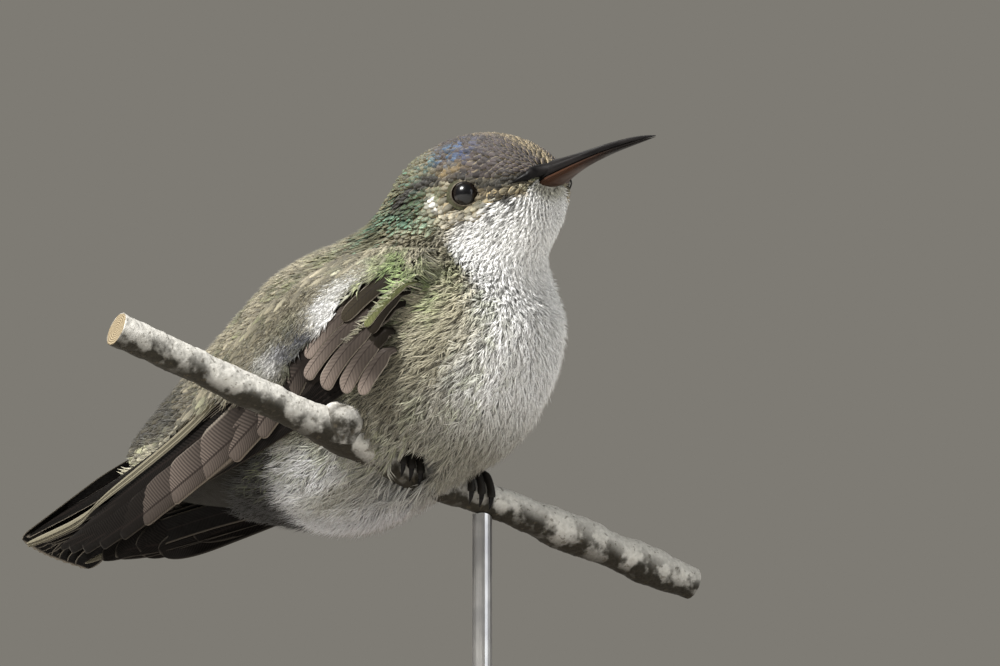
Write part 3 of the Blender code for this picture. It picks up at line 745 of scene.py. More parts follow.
def flank_map():
    """How far the unposed body reaches to its side over each (x, z): the greatest sideways reach of a
    dense sample of its surface, with empty cells near the edge left at 0."""
    x, z = map_axes()
    station, around = np.linspace(0.0, LAST_STATION, 1500), np.linspace(0.0, math.pi, 700)
    station, around = np.meshgrid(station, around, indexing="ij")
    points = body_surface(station, around, posed=False).reshape(-1, 3)
    reach = np.zeros((len(x), len(z)))
    i = np.clip(np.rint((points[:, 0] - MAP_X[0]) / MAP_STEP).astype(int), 0, len(x) - 1)
    j = np.clip(np.rint((points[:, 2] - MAP_Z[0]) / MAP_STEP).astype(int), 0, len(z) - 1)
    np.maximum.at(reach, (i, j), points[:, 1])
    return soften(reach, 3)


def wing_place(x, z):
    """Where a point (x, z) is on the folded wing: its share along it and its place across, -1 to 1."""
    share = np.linspace(0.0, 1.0, 161)
    read = spline(WING_ROWS, share * (len(WING_ROWS) - 1.0))
    heading = unit(np.gradient(read[:, :2], axis=0))
    offset_x = x[..., None] - read[:, 0]
    offset_z = z[..., None] - read[:, 1]
    nearest = np.argmin(offset_x ** 2 + offset_z ** 2, axis=-1)
    take = np.take_along_axis
    pick = nearest[..., None]
    gap_x, gap_z = take(offset_x, pick, -1)[..., 0], take(offset_z, pick, -1)[..., 0]
    across = (gap_x * heading[nearest, 1] - gap_z * heading[nearest, 0]) / read[nearest, 2]
    ahead = gap_x * heading[nearest, 0] + gap_z * heading[nearest, 1]
    return share[nearest], across, ahead, read[nearest, 3], read[nearest, 4]


def wing_maps(flank):
    """The wing's mask and the sideways reach of its inner face over each (x, z), kept clear of the flank."""
    x, z = np.meshgrid(*map_axes(), indexing="ij")
    _, across, ahead, out, thick = wing_place(x, z)
    inner = out - WING_BOW * np.clip(across, -1.3, 1.3) ** 2 - WING_TILT * np.clip(across, -1.3, 1.3)
    inner = np.maximum(inner, flank + WING_CLEARANCE)
    mask = fall(np.abs(across), 0.92, 1.12) * fall(np.abs(ahead), 0.6, 1.4)
    return mask, soften(inner, 10), soften(inner, 10) + thick


FLANK_MAP = flank_map()
WING_MASK, WING_INNER, WING_OUTER = wing_maps(FLANK_MAP)


def past_edges(x, z):
    """How far points are ahead of the coat's front line over the wing, and above its upper line."""
    return x - read_table(FRONT_LINE, z), z - read_table(UPPER_LINE, x)


def over_wing(x, z):
    """1 where the coat laps over the wing: past one of its lines, or up to a tuft's length short of it."""
    ahead, above = past_edges(x, z)
    return np.maximum(ramp(ahead, -4.6, -3.4), ramp(above, -4.2, -3.0))


def clear_of_wing(points, spare):
    """Push points outwards, in the leaned body's frame, to lie over the wing's outer face by a margin."""
    flat = lean(points, -1.0)
    x, y, z = np.moveaxis(flat, -1, 0)
    outer = (read_map(WING_OUTER, x, z) + spare) * read_map(WING_MASK, x, z) * over_wing(x, z)
    flat[..., 1] = np.where(y < 0.0, np.minimum(y, -outer), np.maximum(y, outer))
    return lean(flat, 1.0)


def bare_under_wing(station, around):
    """1 where the coat shows and 0 where the folded wing shows instead: short of both of the coat's lines."""
    x, _, z = np.moveaxis(lean(body_surface(station, around), -1.0), -1, 0)
    ahead, above = past_edges(x, z)
    hidden = ramp(-ahead, -2.0, -1.0) * fall(above, -0.2, 0.9)
    return 1.0 - hidden * ramp(read_map(WING_MASK, x, z), 0.2, 0.7)


# Markings ----------------------------------------------------

# Some of these colours stand for light and shade: shine is a painted highlight, the undertail colour is its
# olive darkened as painted shade, and belly is partly painted shade
COLOURS = {
    "olive": paint(150, 143, 121), "green_back": paint(118, 122, 90), "tan": paint(186, 177, 154),
    "crown": paint(68, 60, 60), "forehead": paint(124, 112, 90), "gold": paint(138, 118, 80),
    "blue": paint(74, 104, 134), "violet": paint(66, 66, 108), "turquoise": paint(106, 152, 128),
    "nape": paint(104, 104, 80), "ear": paint(60, 78, 52), "dark": paint(30, 27, 20),
    "buff": paint(206, 184, 140), "white": paint(250, 250, 249), "cheek": paint(206, 200, 184),
    "chin": paint(176, 174, 156), "flank": paint(198, 192, 168), "flank_green": paint(160, 166, 124),
    "shoulder": paint(134, 156, 98), "shine": paint(192, 214, 150), "down": paint(240, 240, 240),
    "slate": paint(92, 94, 104), "rump": paint(44, 40, 29), "belly": paint(162, 160, 148),
    "vent": paint(220, 221, 224), "undertail_shade": paint(24, 22, 18),
}
WHITE_EDGE = ((0.0, 112.0), (1.5, 126.0), (3.0, 118.0), (4.3, 109.0), (5.2, 110.0), (6.0, 106.0),
              (6.8, 110.0), (7.5, 130.0), (8.0, 138.0), (9.0, 142.0), (10.0, 144.0), (11.0, 145.0),
              (12.0, 143.0), (13.0, 130.0), (14.0, 112.0), (16.0, 106.0), (19.0, 112.0))
UNDERTAIL_EDGE = ((98.0, 13.5), (113.0, 14.0), (123.0, 14.6), (140.0, 15.2), (161.0, 15.5), (180.0, 15.4))
CROWN_EDGE = ((0.0, 100.0), (2.0, 92.0), (4.0, 84.0), (5.3, 76.0), (6.8, 54.0), (8.0, 44.0), (19.0, 40.0))


def white_edge(station, around):
    """Where the white below begins, as an angle from the back: higher up on the left side of the bib."""
    far = ramp(np.sin(around), -0.05, 0.25) * ramp(station, 6.6, 8.0)
    return read_table(WHITE_EDGE, station) - 30.0 * far


def white_patch(station, degrees):
    """The white down over the folded wing's upper edge, and the streak that runs forwards from it."""
    spot = bump(station, 10.95, 0.42) * bump(degrees, 90.0, 6.5) * 1.9
    return np.minimum(spot + 0.9 * bump(station, 10.0, 0.75) * bump(degrees, 84.5, 3.0), 1.0)


def markings(station, around):
    """The colour and glitter of the plumage at places on the body: soft-edged regions laid in turn.

    Each region's share is a product of soft steps and hills of the station and of the angle from the
    back, with noise added to both, so that edges break up.
    """
    where = body_surface(station, around)
    coarse = lattice_noise(where, 2.4, 11)
    fine = lattice_noise(where, 0.75, 12)
    tiny = lattice_noise(where, 0.38, 13)
    face = fall(station, 6.5, 8.5)
    s = station + 0.22 * coarse * (1.0 - 0.75 * face)
    a = from_back(around) + (5.0 * coarse + 4.0 * fine) * (1.0 - 0.6 * face)
    tint = np.broadcast_to(COLOURS["olive"], where.shape).copy()
    glitter = np.zeros(where.shape[:-1])

    def lay(name, share, shine=0.0):
        """Blend the tint towards a named colour, and raise the glitter to a share of its own."""
        tint[...] = blend(tint, COLOURS[name], share)
        glitter[...] = np.maximum(glitter, shine)

    def spot(at_station, long, at_angle, wide):
        """A hill in both the station and the angle."""
        return bump(s, at_station, long) * bump(a, at_angle, wide)

    def boost(share, gain):
        """A share made stronger, up to 1."""
        return np.minimum(share * gain, 1.0)

    # Back, rump and flanks
    lay("green_back", ramp(coarse + fine, -0.1, 0.7) * 0.8)
    lay("tan", ramp(fine - coarse, 0.1, 0.7) * 0.55)
    lay("rump", ramp(s, 13.6, 16.0) * 0.9)
    flank = ramp(a, 70.0, 92.0) * ramp(s, 6.8, 8.2)
    lay("flank", flank)
    lay("flank_green", flank * ramp(coarse + 0.6 * fine, 0.0, 0.6) * 0.6)
    # the flank darkens towards the rump colour from mid-trunk back: painted shade on the flank's lower part
    lay("rump", flank * ramp(s, 8.8, 12.4) * fall(s, 13.4, 14.2) * 0.62)
    lay("down", white_patch(s, a))
    slate = ramp(s, 11.3, 11.6) * fall(s, 12.4, 12.9) * bump(a, 92.0, 6.0)
    lay("slate", boost(slate, 1.4) * ramp(fine, -0.7, 0.1))
    lay("down", spot(12.7, 0.4, 88.0, 5.0) * 0.8)

    # White below, from the chin to the vent
    edge = white_edge(station, around)
    soft = 3.0 + 11.0 * ramp(station, 6.5, 9.0)
    under = ramp(a, edge - soft, edge + soft)
    pale = np.broadcast_to(COLOURS["white"], where.shape)
    # lower down the white turns to the belly's grey-brown, partly its own colour and partly painted shade on
    # the underside; the grey-brown band at the vent is painted shade below its white tuft
    pale = blend(pale, COLOURS["belly"], ramp(s, 10.3, 12.3))
    pale = blend(pale, COLOURS["vent"], ramp(s, 12.8, 13.8))
    pale = blend(pale, COLOURS["belly"], spot(13.9, 1.0, 146.0, 11.0))
    tint[...] = blend(tint, pale, under)
    dark_from = read_table(UNDERTAIL_EDGE, from_back(around))
    # the undertail is laid near black: its own olive darkened as painted shade under the body
    lay("undertail_shade", ramp(s - dark_from, -0.2, 0.25) * ramp(a, 98.0, 106.0))
    streak = under * fall(a, edge + 8.0, edge + 34.0) * ramp(s, 6.5, 8.0)
    lay("flank_green", streak * ramp(fine, 0.0, 0.5) * 0.5)
    lay("chin", bump(s, 0.3, 0.7) * ramp(a, 115.0, 130.0) * 0.8)

    # Crown, forehead and nape
    head = fall(station, 8.6, 10.0)
    crown_edge = read_table(CROWN_EDGE, station)
    crown = fall(a, crown_edge - 3.0, crown_edge + 4.0) * head
    lay("crown", crown * fall(s, 5.0, 6.2))
    lay("forehead", crown * fall(a, 8.0, 30.0) * fall(s, 3.6, 5.0))
    lay("nape", fall(a, 62.0, 80.0) * ramp(s, 5.2, 6.2) * head)
    lay("gold", spot(5.0, 0.8, 69.0, 6.0) * 0.9)
    ear = spot(6.5, 0.75, 72.0, 15.0)
    lay("ear", boost(ear, 1.4), ear * 0.5)
    blue = boost(spot(4.85, 0.85, 50.0, 17.0), 1.4) * ramp(fine + tiny, -0.3, 0.25) * 0.8
    lay("blue", blue * (1.0 - ramp(s, 4.9, 5.2) * 0.2))
    lay("violet", blue * fall(s, 4.1, 4.8))
    lay("turquoise", blue * ramp(s, 5.2, 5.9), blue * 0.55)
    nape_spots = fall(a, 70.0, 90.0) * ramp(s, 5.6, 6.4) * head * ramp(fine, 0.25, 0.5)
    lay("turquoise", nape_spots * 0.7, nape_spots * 0.5)

    # Sides of the face
    turquoise = bump(a - 53.5 - (7.85 - s) * 31.8, 0.0, 9.0) * ramp(s, 6.75, 7.1) * fall(s, 7.8, 8.3)
    turquoise = np.maximum(turquoise, spot(6.62, 0.26, 92.0, 8.0) * 0.8)
    lay("turquoise", turquoise * 0.75, turquoise * 0.6)
    lay("cheek", spot(6.3, 1.0, 105.0, 7.0) * 0.6)
    lay("white", spot(5.95, 0.13, 88.0, 6.0) * 0.8)
    lores = bump(a - 96.0 + np.maximum(s - 3.65, 0.0) * 10.5, 0.0, 9.0) * ramp(s, 0.2, 0.8)
    lay("dark", boost(lores, 1.3) * fall(s, 4.9, 5.2))
    line = bump(a - 69.5 + (s - 5.6) * 6.5, 0.0, 5.2) * ramp(s, 5.2, 5.4) * fall(s, 6.9, 7.4)
    lay("dark", boost(line, 1.4))
    lay("dark", bump(a - 66.0 + (s - 7.2) * 24.0, 0.0, 3.0) * bump(s, 7.1, 0.4) * 0.7)
    strip = bump(a - 106.0 - (3.6 - s) * 9.0, 0.0, 5.5) * ramp(s, 1.3, 1.8) * fall(s, 4.3, 4.7)
    lay("buff", strip * 0.7)
    specks = boost(spot(3.7, 1.5, 118.0, 18.0) * ramp(fine + 0.5 * tiny, 0.12, 0.3), 1.3)
    lay("dark", np.maximum(specks, strip * ramp(tiny, 0.0, 0.2)) * 0.9)

    # Glittering shoulder
    shoulder = spot(9.2, 0.9, 105.0, 14.0) * ramp(coarse + fine, -0.8, -0.1)
    lay("shoulder", boost(shoulder, 1.3) * 0.9)
    # the shine colour is a painted highlight on the shoulder's glittering feathers
    lay("shine", shoulder * ramp(fine, 0.0, 0.5) * 0.85, shoulder * 0.6)
    return np.clip(tint, 0.0, 1.0), np.clip(glitter, 0.0, 1.0)


def feather_gap(station, around, length, centres):
    """How near a feather of this length, laid straight back, comes to any of the given points."""
    _, along, _ = body_frame(station, around)
    step = length / np.maximum(np.linalg.norm(along, axis=-1), 0.5)
    gap = np.full(np.shape(station), np.inf)
    for share in (0.0, 0.5, 1.0):
        where = body_surface(station + share * step, around)
        for centre in centres:
            gap = np.minimum(gap, np.linalg.norm(where - centre, axis=-1))
    return gap


def near_eye(station, around, length=0.0):
    """1 where a feather of this length would cover an eye; it falls to 0 outside."""
    ahead = HEAD_CENTRE[0] + EYE_AHEAD + BARE_EYE_AHEAD
    centres = [turn_head(np.array([ahead, left * BARE_EYE_SIDE, EYE_LEVEL])) for left in (-1.0, 1.0)]
    return fall(feather_gap(station, around, length, centres), *BARE_EYE)


def near_feet(station, around, length=0.0):
    """1 beside the toes of either foot, where the plumage parts round them, falling to 0 outside."""
    centres = [perch_point(along) + PERCH_FRONT * PARTING_FRONT for along in FOOT_ALONG.values()]
    return fall(feather_gap(station, around, length, centres), *PARTING)


# Laying feathers ---------------------------------------------

SCATTER_CELLS = (380, 360)  # cells along and round the body that roots are shared out over
GOLDEN_RATIO = 0.6180339887
WITHIN_ROW = 0.999999  # keeps a share of a row of cells from reaching the next row
LEAST_GIRTH = 2.5  # millimetres to the radian, which holds swings small at the ends
BARB_SLANT = 1.2  # how far a barb runs towards the tip for each unit out
BAKE_PATCH = (0.0014, 0.003)  # a feather's patch of the skin's unwrap, across and along
BAKE_MARGIN = 0.003


def scatter(per_area, density, seed):
    """Roots spread evenly over the body, so many to the square millimetre times a density in 0 to 1.

    The body is cut into small cells. Each root takes a station in order of the cells' summed weight and
    an angle by the golden ratio within that station, which spaces the roots like seeds, then jitters.
    """
    rows, columns = SCATTER_CELLS
    station = (np.arange(rows) + 0.5) * LAST_STATION / rows
    around = (np.arange(columns) + 0.5) * TURN / columns
    s, a = np.meshgrid(station, around, indexing="ij")
    _, along, across = body_frame(s, a)
    area = np.linalg.norm(np.cross(along, across), axis=-1) * (LAST_STATION / rows) * (TURN / columns)
    weight = area * np.clip(density(s, a), 0.0, 1.0)
    count = int(per_area * weight.sum())
    random = np.random.default_rng(seed)
    order = np.arange(count)
    down = (order + random.uniform(0.1, 0.9, count)) / count
    sums = np.concatenate([[0.0], np.cumsum(weight.sum(axis=1))])
    place_s = np.interp(down * sums[-1], sums, np.linspace(0.0, LAST_STATION, rows + 1))
    row = np.clip((place_s / LAST_STATION * rows).astype(int), 0, rows - 1)
    inner = np.cumsum(weight, axis=1) / np.maximum(weight.sum(axis=1, keepdims=True), 1e-12)
    keys = (np.arange(rows)[:, None] + inner * WITHIN_ROW).reshape(-1)
    share = (order * GOLDEN_RATIO + random.uniform(-0.15, 0.15, count) / max(count, 1) ** 0.5) % 1.0
    column = np.searchsorted(keys, row + share * WITHIN_ROW) % columns
    place_a = (column + random.uniform(0.0, 1.0, count)) * TURN / columns
    return place_s, place_a, random


def follow(station, around, heading, length, share, height, bend=0.0):
    """Paths over the body from roots: each runs its length in its heading, at heights over the outline.

    A heading of 0 runs back along the body and a positive one turns towards the belly; the bend adds to
    it by the share. The run is turned into stations and radians by how far the outline runs for each.
    Gives points and outward normals.
    """
    _, along, across = body_frame(station, around)
    down = np.where(np.sin(around) >= 0.0, 1.0, -1.0)
    run = (length / np.linalg.norm(along, axis=-1))[:, None] * share
    turned = heading[:, None] + np.reshape(bend, (-1, 1)) * share
    swing = (down * length / np.maximum(np.linalg.norm(across, axis=-1), LEAST_GIRTH))[:, None] * share
    s = station[:, None] + run * np.cos(turned)
    a = around[:, None] + swing * np.sin(turned)
    normal, _, _ = body_frame(s, a)
    return body_surface(s, a) + normal * height[..., None], normal


def sideways(points, normal):
    """Unit vectors square to many paths and to their normals."""
    return unit(np.cross(unit(np.gradient(points, axis=1)), normal))


def path_lengths(points):
    """The lengths of many paths."""
    return np.linalg.norm(np.diff(points, axis=1), axis=-1).sum(axis=1)


def sections(centre, side, up, across, height):
    """Rings round paths: the centre, plus the side vector times across, plus the up vector times height."""
    return (centre[..., None, :] + side[..., None, :] * across[..., None]
            + up[..., None, :] * height[..., None])


def vane_rings(centre, side, up, half, camber, thickness, columns):
    """Rings of many vanes: an arched lens across, with sharp edges where its two faces meet.

    Across runs from minus to plus the half-width. The height is the camber and half the thickness, up on
    one face and down on the other, times 1 minus the square of the share of the half-width.
    """
    top = np.linspace(-1.0, 1.0, columns)
    share = np.concatenate([top, top[-2:0:-1]])
    face = np.concatenate([np.ones(columns), -np.ones(columns - 2)])
    arch = (1.0 - share ** 2) * (camber[..., None] + 0.5 * thickness * face)
    return sections(centre, side, up, half[..., None] * share, arch), share


def add_tubes(piece, points, rings, across, tint, fade, glitter=0.0, pale=0.0, bake=None, reach=None,
              fade_span=(0.0, 1.0)):
    """Add closed tubes with their marks: tint (n, 3), glitter, pale rim and bake place (n, 2).

    The fade is how bright the root is beside the tip, over a span of the length. Reach is the length and
    the half-width of each, in millimetres, from which the barb lines are counted.
    """
    count, rows, sides = rings.shape[:3]
    share = np.linspace(0.0, 1.0, rows + 2)[1:-1]
    along = np.tile(np.concatenate([[0.0], np.repeat(share, sides), [1.0]]), count)
    breadth = np.tile(np.concatenate([[0.0], np.tile(across, rows), [0.0]]), count)

    def spread(values, *shape):
        """Give each tube's value to all its points."""
        return np.repeat(np.broadcast_to(values, (count, *shape)), rows * sides + 2, axis=0)

    shade = ramp(along, *fade_span)[:, None]
    colour = spread(tint, 3) * (spread(fade)[:, None] * (1.0 - shade) + shade)
    marks = {"Tint": colour, "Along": along, "Across": breadth, "Glitter": spread(glitter)}
    if np.ndim(pale) or pale:
        marks["Pale"] = spread(pale)
    if reach:
        length, half = (spread(values) for values in reach)
        marks["Reach"] = length * along - BARB_SLANT * half * np.abs(breadth)
    if bake is not None:
        patch = np.stack([BAKE_PATCH[0] * breadth, BAKE_PATCH[1] * along - 0.5 * BAKE_PATCH[1]], axis=1)
        marks["OFBake"] = np.clip(spread(bake, 2) + patch, 0.0, 1.0)
    piece.add(tube_points(points[:, 0], rings, points[:, -1]), *ring_faces(count, rows, sides), **marks)


def bake_place(station, around):
    """A root's place on the skin's own unwrap: the angle across it and the station down it."""
    place = np.stack([np.mod(around, TURN) / TURN, np.clip(station / LAST_STATION, 0.0, 1.0)], axis=-1)
    return BAKE_MARGIN + (1.0 - 2.0 * BAKE_MARGIN) * place


# Settings ----------------------------------------------------

class HUMMINGBIRD_PG_stage(bpy.types.PropertyGroup):
    """Camera, light and backdrop."""

    azimuth: bpy.props.FloatProperty(name="Azimuth", description="Camera's turn to the bird's right",
                                     default=math.radians(38.0), subtype="ANGLE")
    elevation: bpy.props.FloatProperty(name="Elevation", description="Camera's rise over the bird",
                                       default=math.radians(-6.0), subtype="ANGLE")
    distance: bpy.props.FloatProperty(name="Distance", description="From the camera to the bird",
                                      default=0.52, unit="LENGTH")
    view_width: bpy.props.FloatProperty(name="View width", description="Width seen at the bird",
                                        default=0.125, unit="LENGTH")
    key_power: bpy.props.FloatProperty(name="Key", description="Power of the key light", default=17.5,
                                       unit="POWER")
    fill_power: bpy.props.FloatProperty(name="Fill", description="Power of the fill light", default=5.5,
                                        unit="POWER")
    rim_power: bpy.props.FloatProperty(name="Rim", description="Power of the light behind", default=2.0,
                                       unit="POWER")
    backdrop: bpy.props.FloatVectorProperty(name="Backdrop", description="Colour of the surroundings", size=3,
                                            default=paint(126, 123, 116), subtype="COLOR")
    floor: bpy.props.FloatVectorProperty(name="Floor", description="Colour of the floor", size=3,
                                         default=paint(205, 203, 198), subtype="COLOR")


class HUMMINGBIRD_PG_coat(bpy.types.PropertyGroup):
    """How thick and fine the plumage is."""

    density: bpy.props.FloatProperty(name="Density", description="Share of the full number of body feathers",
                                     default=1.0, min=0.05, max=1.0, subtype="FACTOR")
    barb_width: bpy.props.FloatProperty(name="Barb width", description="Width of one barb of down",
                                        default=0.00017, unit="LENGTH")
    scale_length: bpy.props.FloatProperty(name="Scale length", description="Length of a crown feather",
                                          default=0.00115, unit="LENGTH")
    back_length: bpy.props.FloatProperty(name="Back feather length", description="Length of a back feather",
                                         default=0.0042, unit="LENGTH")


class HUMMINGBIRD_PG_flight(bpy.types.PropertyGroup):
    """Flight feathers of the wings and tail."""

    # the outer primaries and the tail default to near black: their own dark brown deepened as painted shade
    dark: bpy.props.FloatVectorProperty(name="Outer primaries", description="Colour of the outer primaries",
                                        size=3, default=paint(9, 8, 7), subtype="COLOR")
    light: bpy.props.FloatVectorProperty(name="Inner feathers", description="Colour of the inner wing",
                                         size=3, default=paint(130, 118, 110), subtype="COLOR")
    tail: bpy.props.FloatVectorProperty(name="Tail", description="Colour of the tail feathers", size=3,
                                        default=paint(10, 9, 8), subtype="COLOR")
    thickness: bpy.props.FloatProperty(name="Thickness", description="Thickness of a vane", default=0.00016,
                                       unit="LENGTH")


class HummingbirdOperator:
    """Shared settings of the operators below."""

    bl_options = {"REGISTER", "UNDO"}


# Stage -------------------------------------------------------

def aim(thing, target):
    """Turn a camera or a light to look at a point, with its own up kept upright."""
    gap = thing.location.copy()
    gap[:] = target
    thing.rotation_euler = (gap - thing.location).to_track_quat("-Z", "Y").to_euler()


class HUMMINGBIRD_OT_stage(HummingbirdOperator, bpy.types.Operator):
    """Set the pale floor, the soft studio lights and the camera"""

    bl_idname = "hummingbird.stage"
    bl_label = "Stage"

    def execute(self, context):
        stage = context.scene.hummingbird_stage
        remove_old("floor", "camera", "key_light", "fill_light", "rim_light")
        away, tilt = stage.azimuth, stage.elevation
        right = np.array([math.cos(away), math.sin(away), 0.0])
        back = np.array([math.sin(away) * math.cos(tilt), -math.cos(away) * math.cos(tilt), math.sin(tilt)])
        up = np.cross(back, right)
        target = to_model(CAMERA_TARGET_RIGHT * right + CAMERA_TARGET_UP * up)

        lens = bpy.data.cameras.new("camera")
        lens.sensor_width = SENSOR_WIDTH
        lens.lens = SENSOR_WIDTH * stage.distance / stage.view_width
        lens.clip_start = 0.01
        camera = bpy.data.objects.new("camera", lens)
        camera.location = target + back * stage.distance
        aim(camera, target)
        context.scene.collection.objects.link(camera)
        context.scene.camera = camera

        spots = (("key_light", stage.key_power, 0.22, (-0.62, 0.82, 0.42), (1.0, 0.985, 0.96), 0.9),
                 ("fill_light", stage.fill_power, 0.9, (0.95, 0.3, 0.6), (0.93, 0.96, 1.0), 1.1),
                 ("rim_light", stage.rim_power, 0.5, (-0.5, 0.9, -0.9), (1.0, 0.98, 0.95), 1.0))
        for name, power, size, direction, colour, distance in spots:
            data = bpy.data.lights.new(name, "AREA")
            data.energy = power
            data.size = size
            data.color = colour
            light = bpy.data.objects.new(name, data)
            run = direction[0] * right + direction[1] * up + direction[2] * back
            light.location = target + run / np.linalg.norm(run) * distance
            aim(light, target)
            context.scene.collection.objects.link(light)

        world = bpy.data.worlds.new("studio")
        world.use_nodes = True
        world.node_tree.nodes["Background"].inputs["Color"].default_value = (*stage.backdrop, 1.0)
        context.scene.world = world
        context.scene.view_settings.view_transform = "Standard"
        self.floor(context, stage)
        return {"FINISHED"}

    def floor(self, context, stage):
        """A wide round floor, at level 0: rings of points from the middle out."""
        around = angles(FLOOR_SIDES)
        radius = np.array([0.15, 0.5, 1.5, 6.0])
        ring = np.stack([np.cos(around), np.sin(around), np.zeros(FLOOR_SIDES)], axis=-1)
        points = np.concatenate([[[0.0, 0.0, 0.0]], (radius[:, None, None] * ring).reshape(-1, 3)])
        number = 1 + np.arange(radius.size * FLOOR_SIDES).reshape(radius.size, FLOOR_SIDES)
        after = np.roll(number, -1, axis=1)
        quads = np.stack([number[:-1], number[1:], after[1:], after[:-1]], axis=-1).reshape(-1, 4)
        middle = np.stack([np.zeros(FLOOR_SIDES, dtype=int), number[0], after[0]], axis=-1)
        mesh = bpy.data.meshes.new("floor")
        mesh.from_pydata(points.tolist(), [], quads.tolist() + middle.tolist())
        floor = bpy.data.objects.new("floor", mesh)
        mesh.materials.append(floor_material(stage.floor))
        context.scene.collection.objects.link(floor)


class HUMMINGBIRD_OT_stand(HummingbirdOperator, bpy.types.Operator):
    """Finish the stand: stained wood on the base, brushed steel on the rod and collar"""

    bl_idname = "hummingbird.stand"
    bl_label = "Stand"

    def execute(self, context):
        wood, steel = wood_material(), steel_material()
        for node, finish in (("stand_base", wood), ("stand_rod", steel), ("stand_collar", steel)):
            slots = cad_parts[node].material_slots
            if not slots:
                raise RuntimeError(f"{node} has no material slot")
            for slot in slots:
                slot.material = finish
        return {"FINISHED"}


# Perch -------------------------------------------------------

def cut_branch(path, radii, sides, seed):
    """Rings of a branch with flat saw-cut ends, and the marks of its points.

    Each end starts with four rings in the plane of the cut, at growing shares of the radius. Along the
    bark the radius is roughened by noise of four sizes.
    """
    tangent, level, upward = frames_along(path)
    spoke = spokes(level, upward, sides)
    surface = path[:, None, :] + spoke * radii[:, None, None]
    rough = sum(height * lattice_noise(surface, size, seed + number) for number, (height, size) in
                enumerate(((0.16, 2.6), (0.09, 1.1), (0.05, 0.5), (0.035, 0.22))))
    surface = surface + spoke * rough[..., None]
    # how far up each point faces, with noise: the mask of the bark's painted light on top and painted shade
    # below
    upper = spoke[..., 2] * 0.5 + 0.5 + 0.12 * lattice_noise(surface, 3.0, seed + 4)
    share = np.array([0.12, 0.35, 0.6, 0.85, 0.97])
    first = path[0] + (surface[0] - path[0])[None] * share[:, None, None]
    last = path[-1] + (surface[-1] - path[-1])[None] * share[::-1, None, None]
    dish = 0.10 * lattice_noise(np.concatenate([first, last]), 0.6, seed + 5)[..., None]
    first = first + tangent[0] * dish[:5]
    last = last + tangent[-1] * dish[5:]
    rings = np.concatenate([first, surface, last])
    flat = np.ones((5, sides))
    cut = np.concatenate([flat, np.zeros(surface.shape[:2]), flat])
    ring = np.concatenate([flat * share[:, None], np.zeros(surface.shape[:2]), flat * share[::-1, None]])
    upper = np.concatenate([np.repeat(upper[:1], 5, 0), upper, np.repeat(upper[-1:], 5, 0)])
    return rings, cut, ring, upper


class HUMMINGBIRD_OT_perch(HummingbirdOperator, bpy.types.Operator):
    """Make the cut length of branch with its bark, its stub and its sawn ends"""

    bl_idname = "hummingbird.perch"
    bl_label = "Perch"

    def execute(self, context):
        piece = Piece()
        along = np.linspace(PERCH_PATH[0][0], PERCH_PATH[-1][0], 520)
        self.add(piece, perch_point(along), perch_radius(along) - 0.05, 110, 31)
        rise = np.linspace(0.0, 1.0, 40)[:, None]
        stub = perch_point(KNOT_ALONG) + rise * (np.array(KNOT_LEAN) * KNOT_RISE)
        flare = np.sqrt(1.0 - 0.8 * rise[:, 0] ** 4)
        self.add(piece, stub, KNOT_RADIUS * flare - 0.05, 84, 57, 0.12)
        piece.build("branch", bark_material(), "bark", ("perch",))
        return {"FINISHED"}

    def add(self, piece, path, radii, sides, seed, sawn=1.0):
        """Add one closed length of branch; sawn is how much of its ends' wood shows."""
        rings, cut, ring, upper = cut_branch(path, radii, sides, seed)
        ends = [rings[0].mean(axis=0), rings[-1].mean(axis=0)]
        if not np.isfinite(ends).all():
            raise RuntimeError("the branch has a broken ring")
        marks = {"Cut": (cut * sawn, sawn), "Ring": (ring, 0.0), "Upper": (upper, 0.5)}
        marks = {name: np.pad(values.reshape(-1), 1, constant_values=end)
                 for name, (values, end) in marks.items()}
        piece.add(*closed_grid(rings), **marks)


# Skin, eyes, bill and feet -----------------------------------

class HUMMINGBIRD_OT_skin(HummingbirdOperator, bpy.types.Operator):
    """Make the one skin of head, neck and trunk, with its folds round the eyes"""

    bl_idname = "hummingbird.skin"
    bl_label = "Skin"

    def execute(self, context):
        station = np.concatenate([np.linspace(0.0, 8.0, 150), np.linspace(8.1, LAST_STATION, 110)])
        around = angles(240)
        s, a = np.meshgrid(station, around, indexing="ij")
        normal, _, _ = body_frame(s, a)
        # the coat's depth, and deeper round the eyes and the feet
        sink = coat_depth(s) + 1.1 * near_eye(s, a) + 1.5 * near_feet(s, a)
        points = body_surface(s, a) - normal * sink[..., None]
        piece = Piece()
        tint, _ = markings(s, a)
        # the skin takes the plumage's markings darkened: the grey roots of the down, and painted shade in the
        # coat's gaps
        tint = tint * (0.42 + 0.25 * (tint.mean(axis=-1, keepdims=True) > 0.5))
        # darker still under the folded wing and where the tail's root covers it, painted shade, and dark
        # round the eyes
        hidden = np.maximum(1.0 - bare_under_wing(s, a), ramp(s, 17.2, 17.8))
        for share in (hidden, near_eye(s, a)):
            tint = blend(tint, COLOURS["dark"], share * 0.9)
        piece.add(*closed_grid(points), Tint=with_ends(tint), OFBake=with_ends(bake_place(s, a)))
        piece.build("skin", skin_material(), "trunk_plumage", ("head", "neck", "trunk"))
        return {"FINISHED"}


def eye_basis(left):
    """An eye's centre and its three directions: out of the head, forwards and up, turned with the head."""
    centre = turn_head(np.array([HEAD_CENTRE[0] + EYE_AHEAD, left * EYE_SIDE, EYE_LEVEL]))
    out = np.array([EYE_TURN, left, 0.06])
    pivot = np.array([HEAD_CENTRE[0], 0.0, 0.0])
    out = unit(turn_head(pivot + out) - pivot)
    forward = unit(np.cross([0.0, 0.0, 1.0], out)) * left * -1.0
    return centre, out, forward, unit(np.cross(out, forward)) * left * -1.0


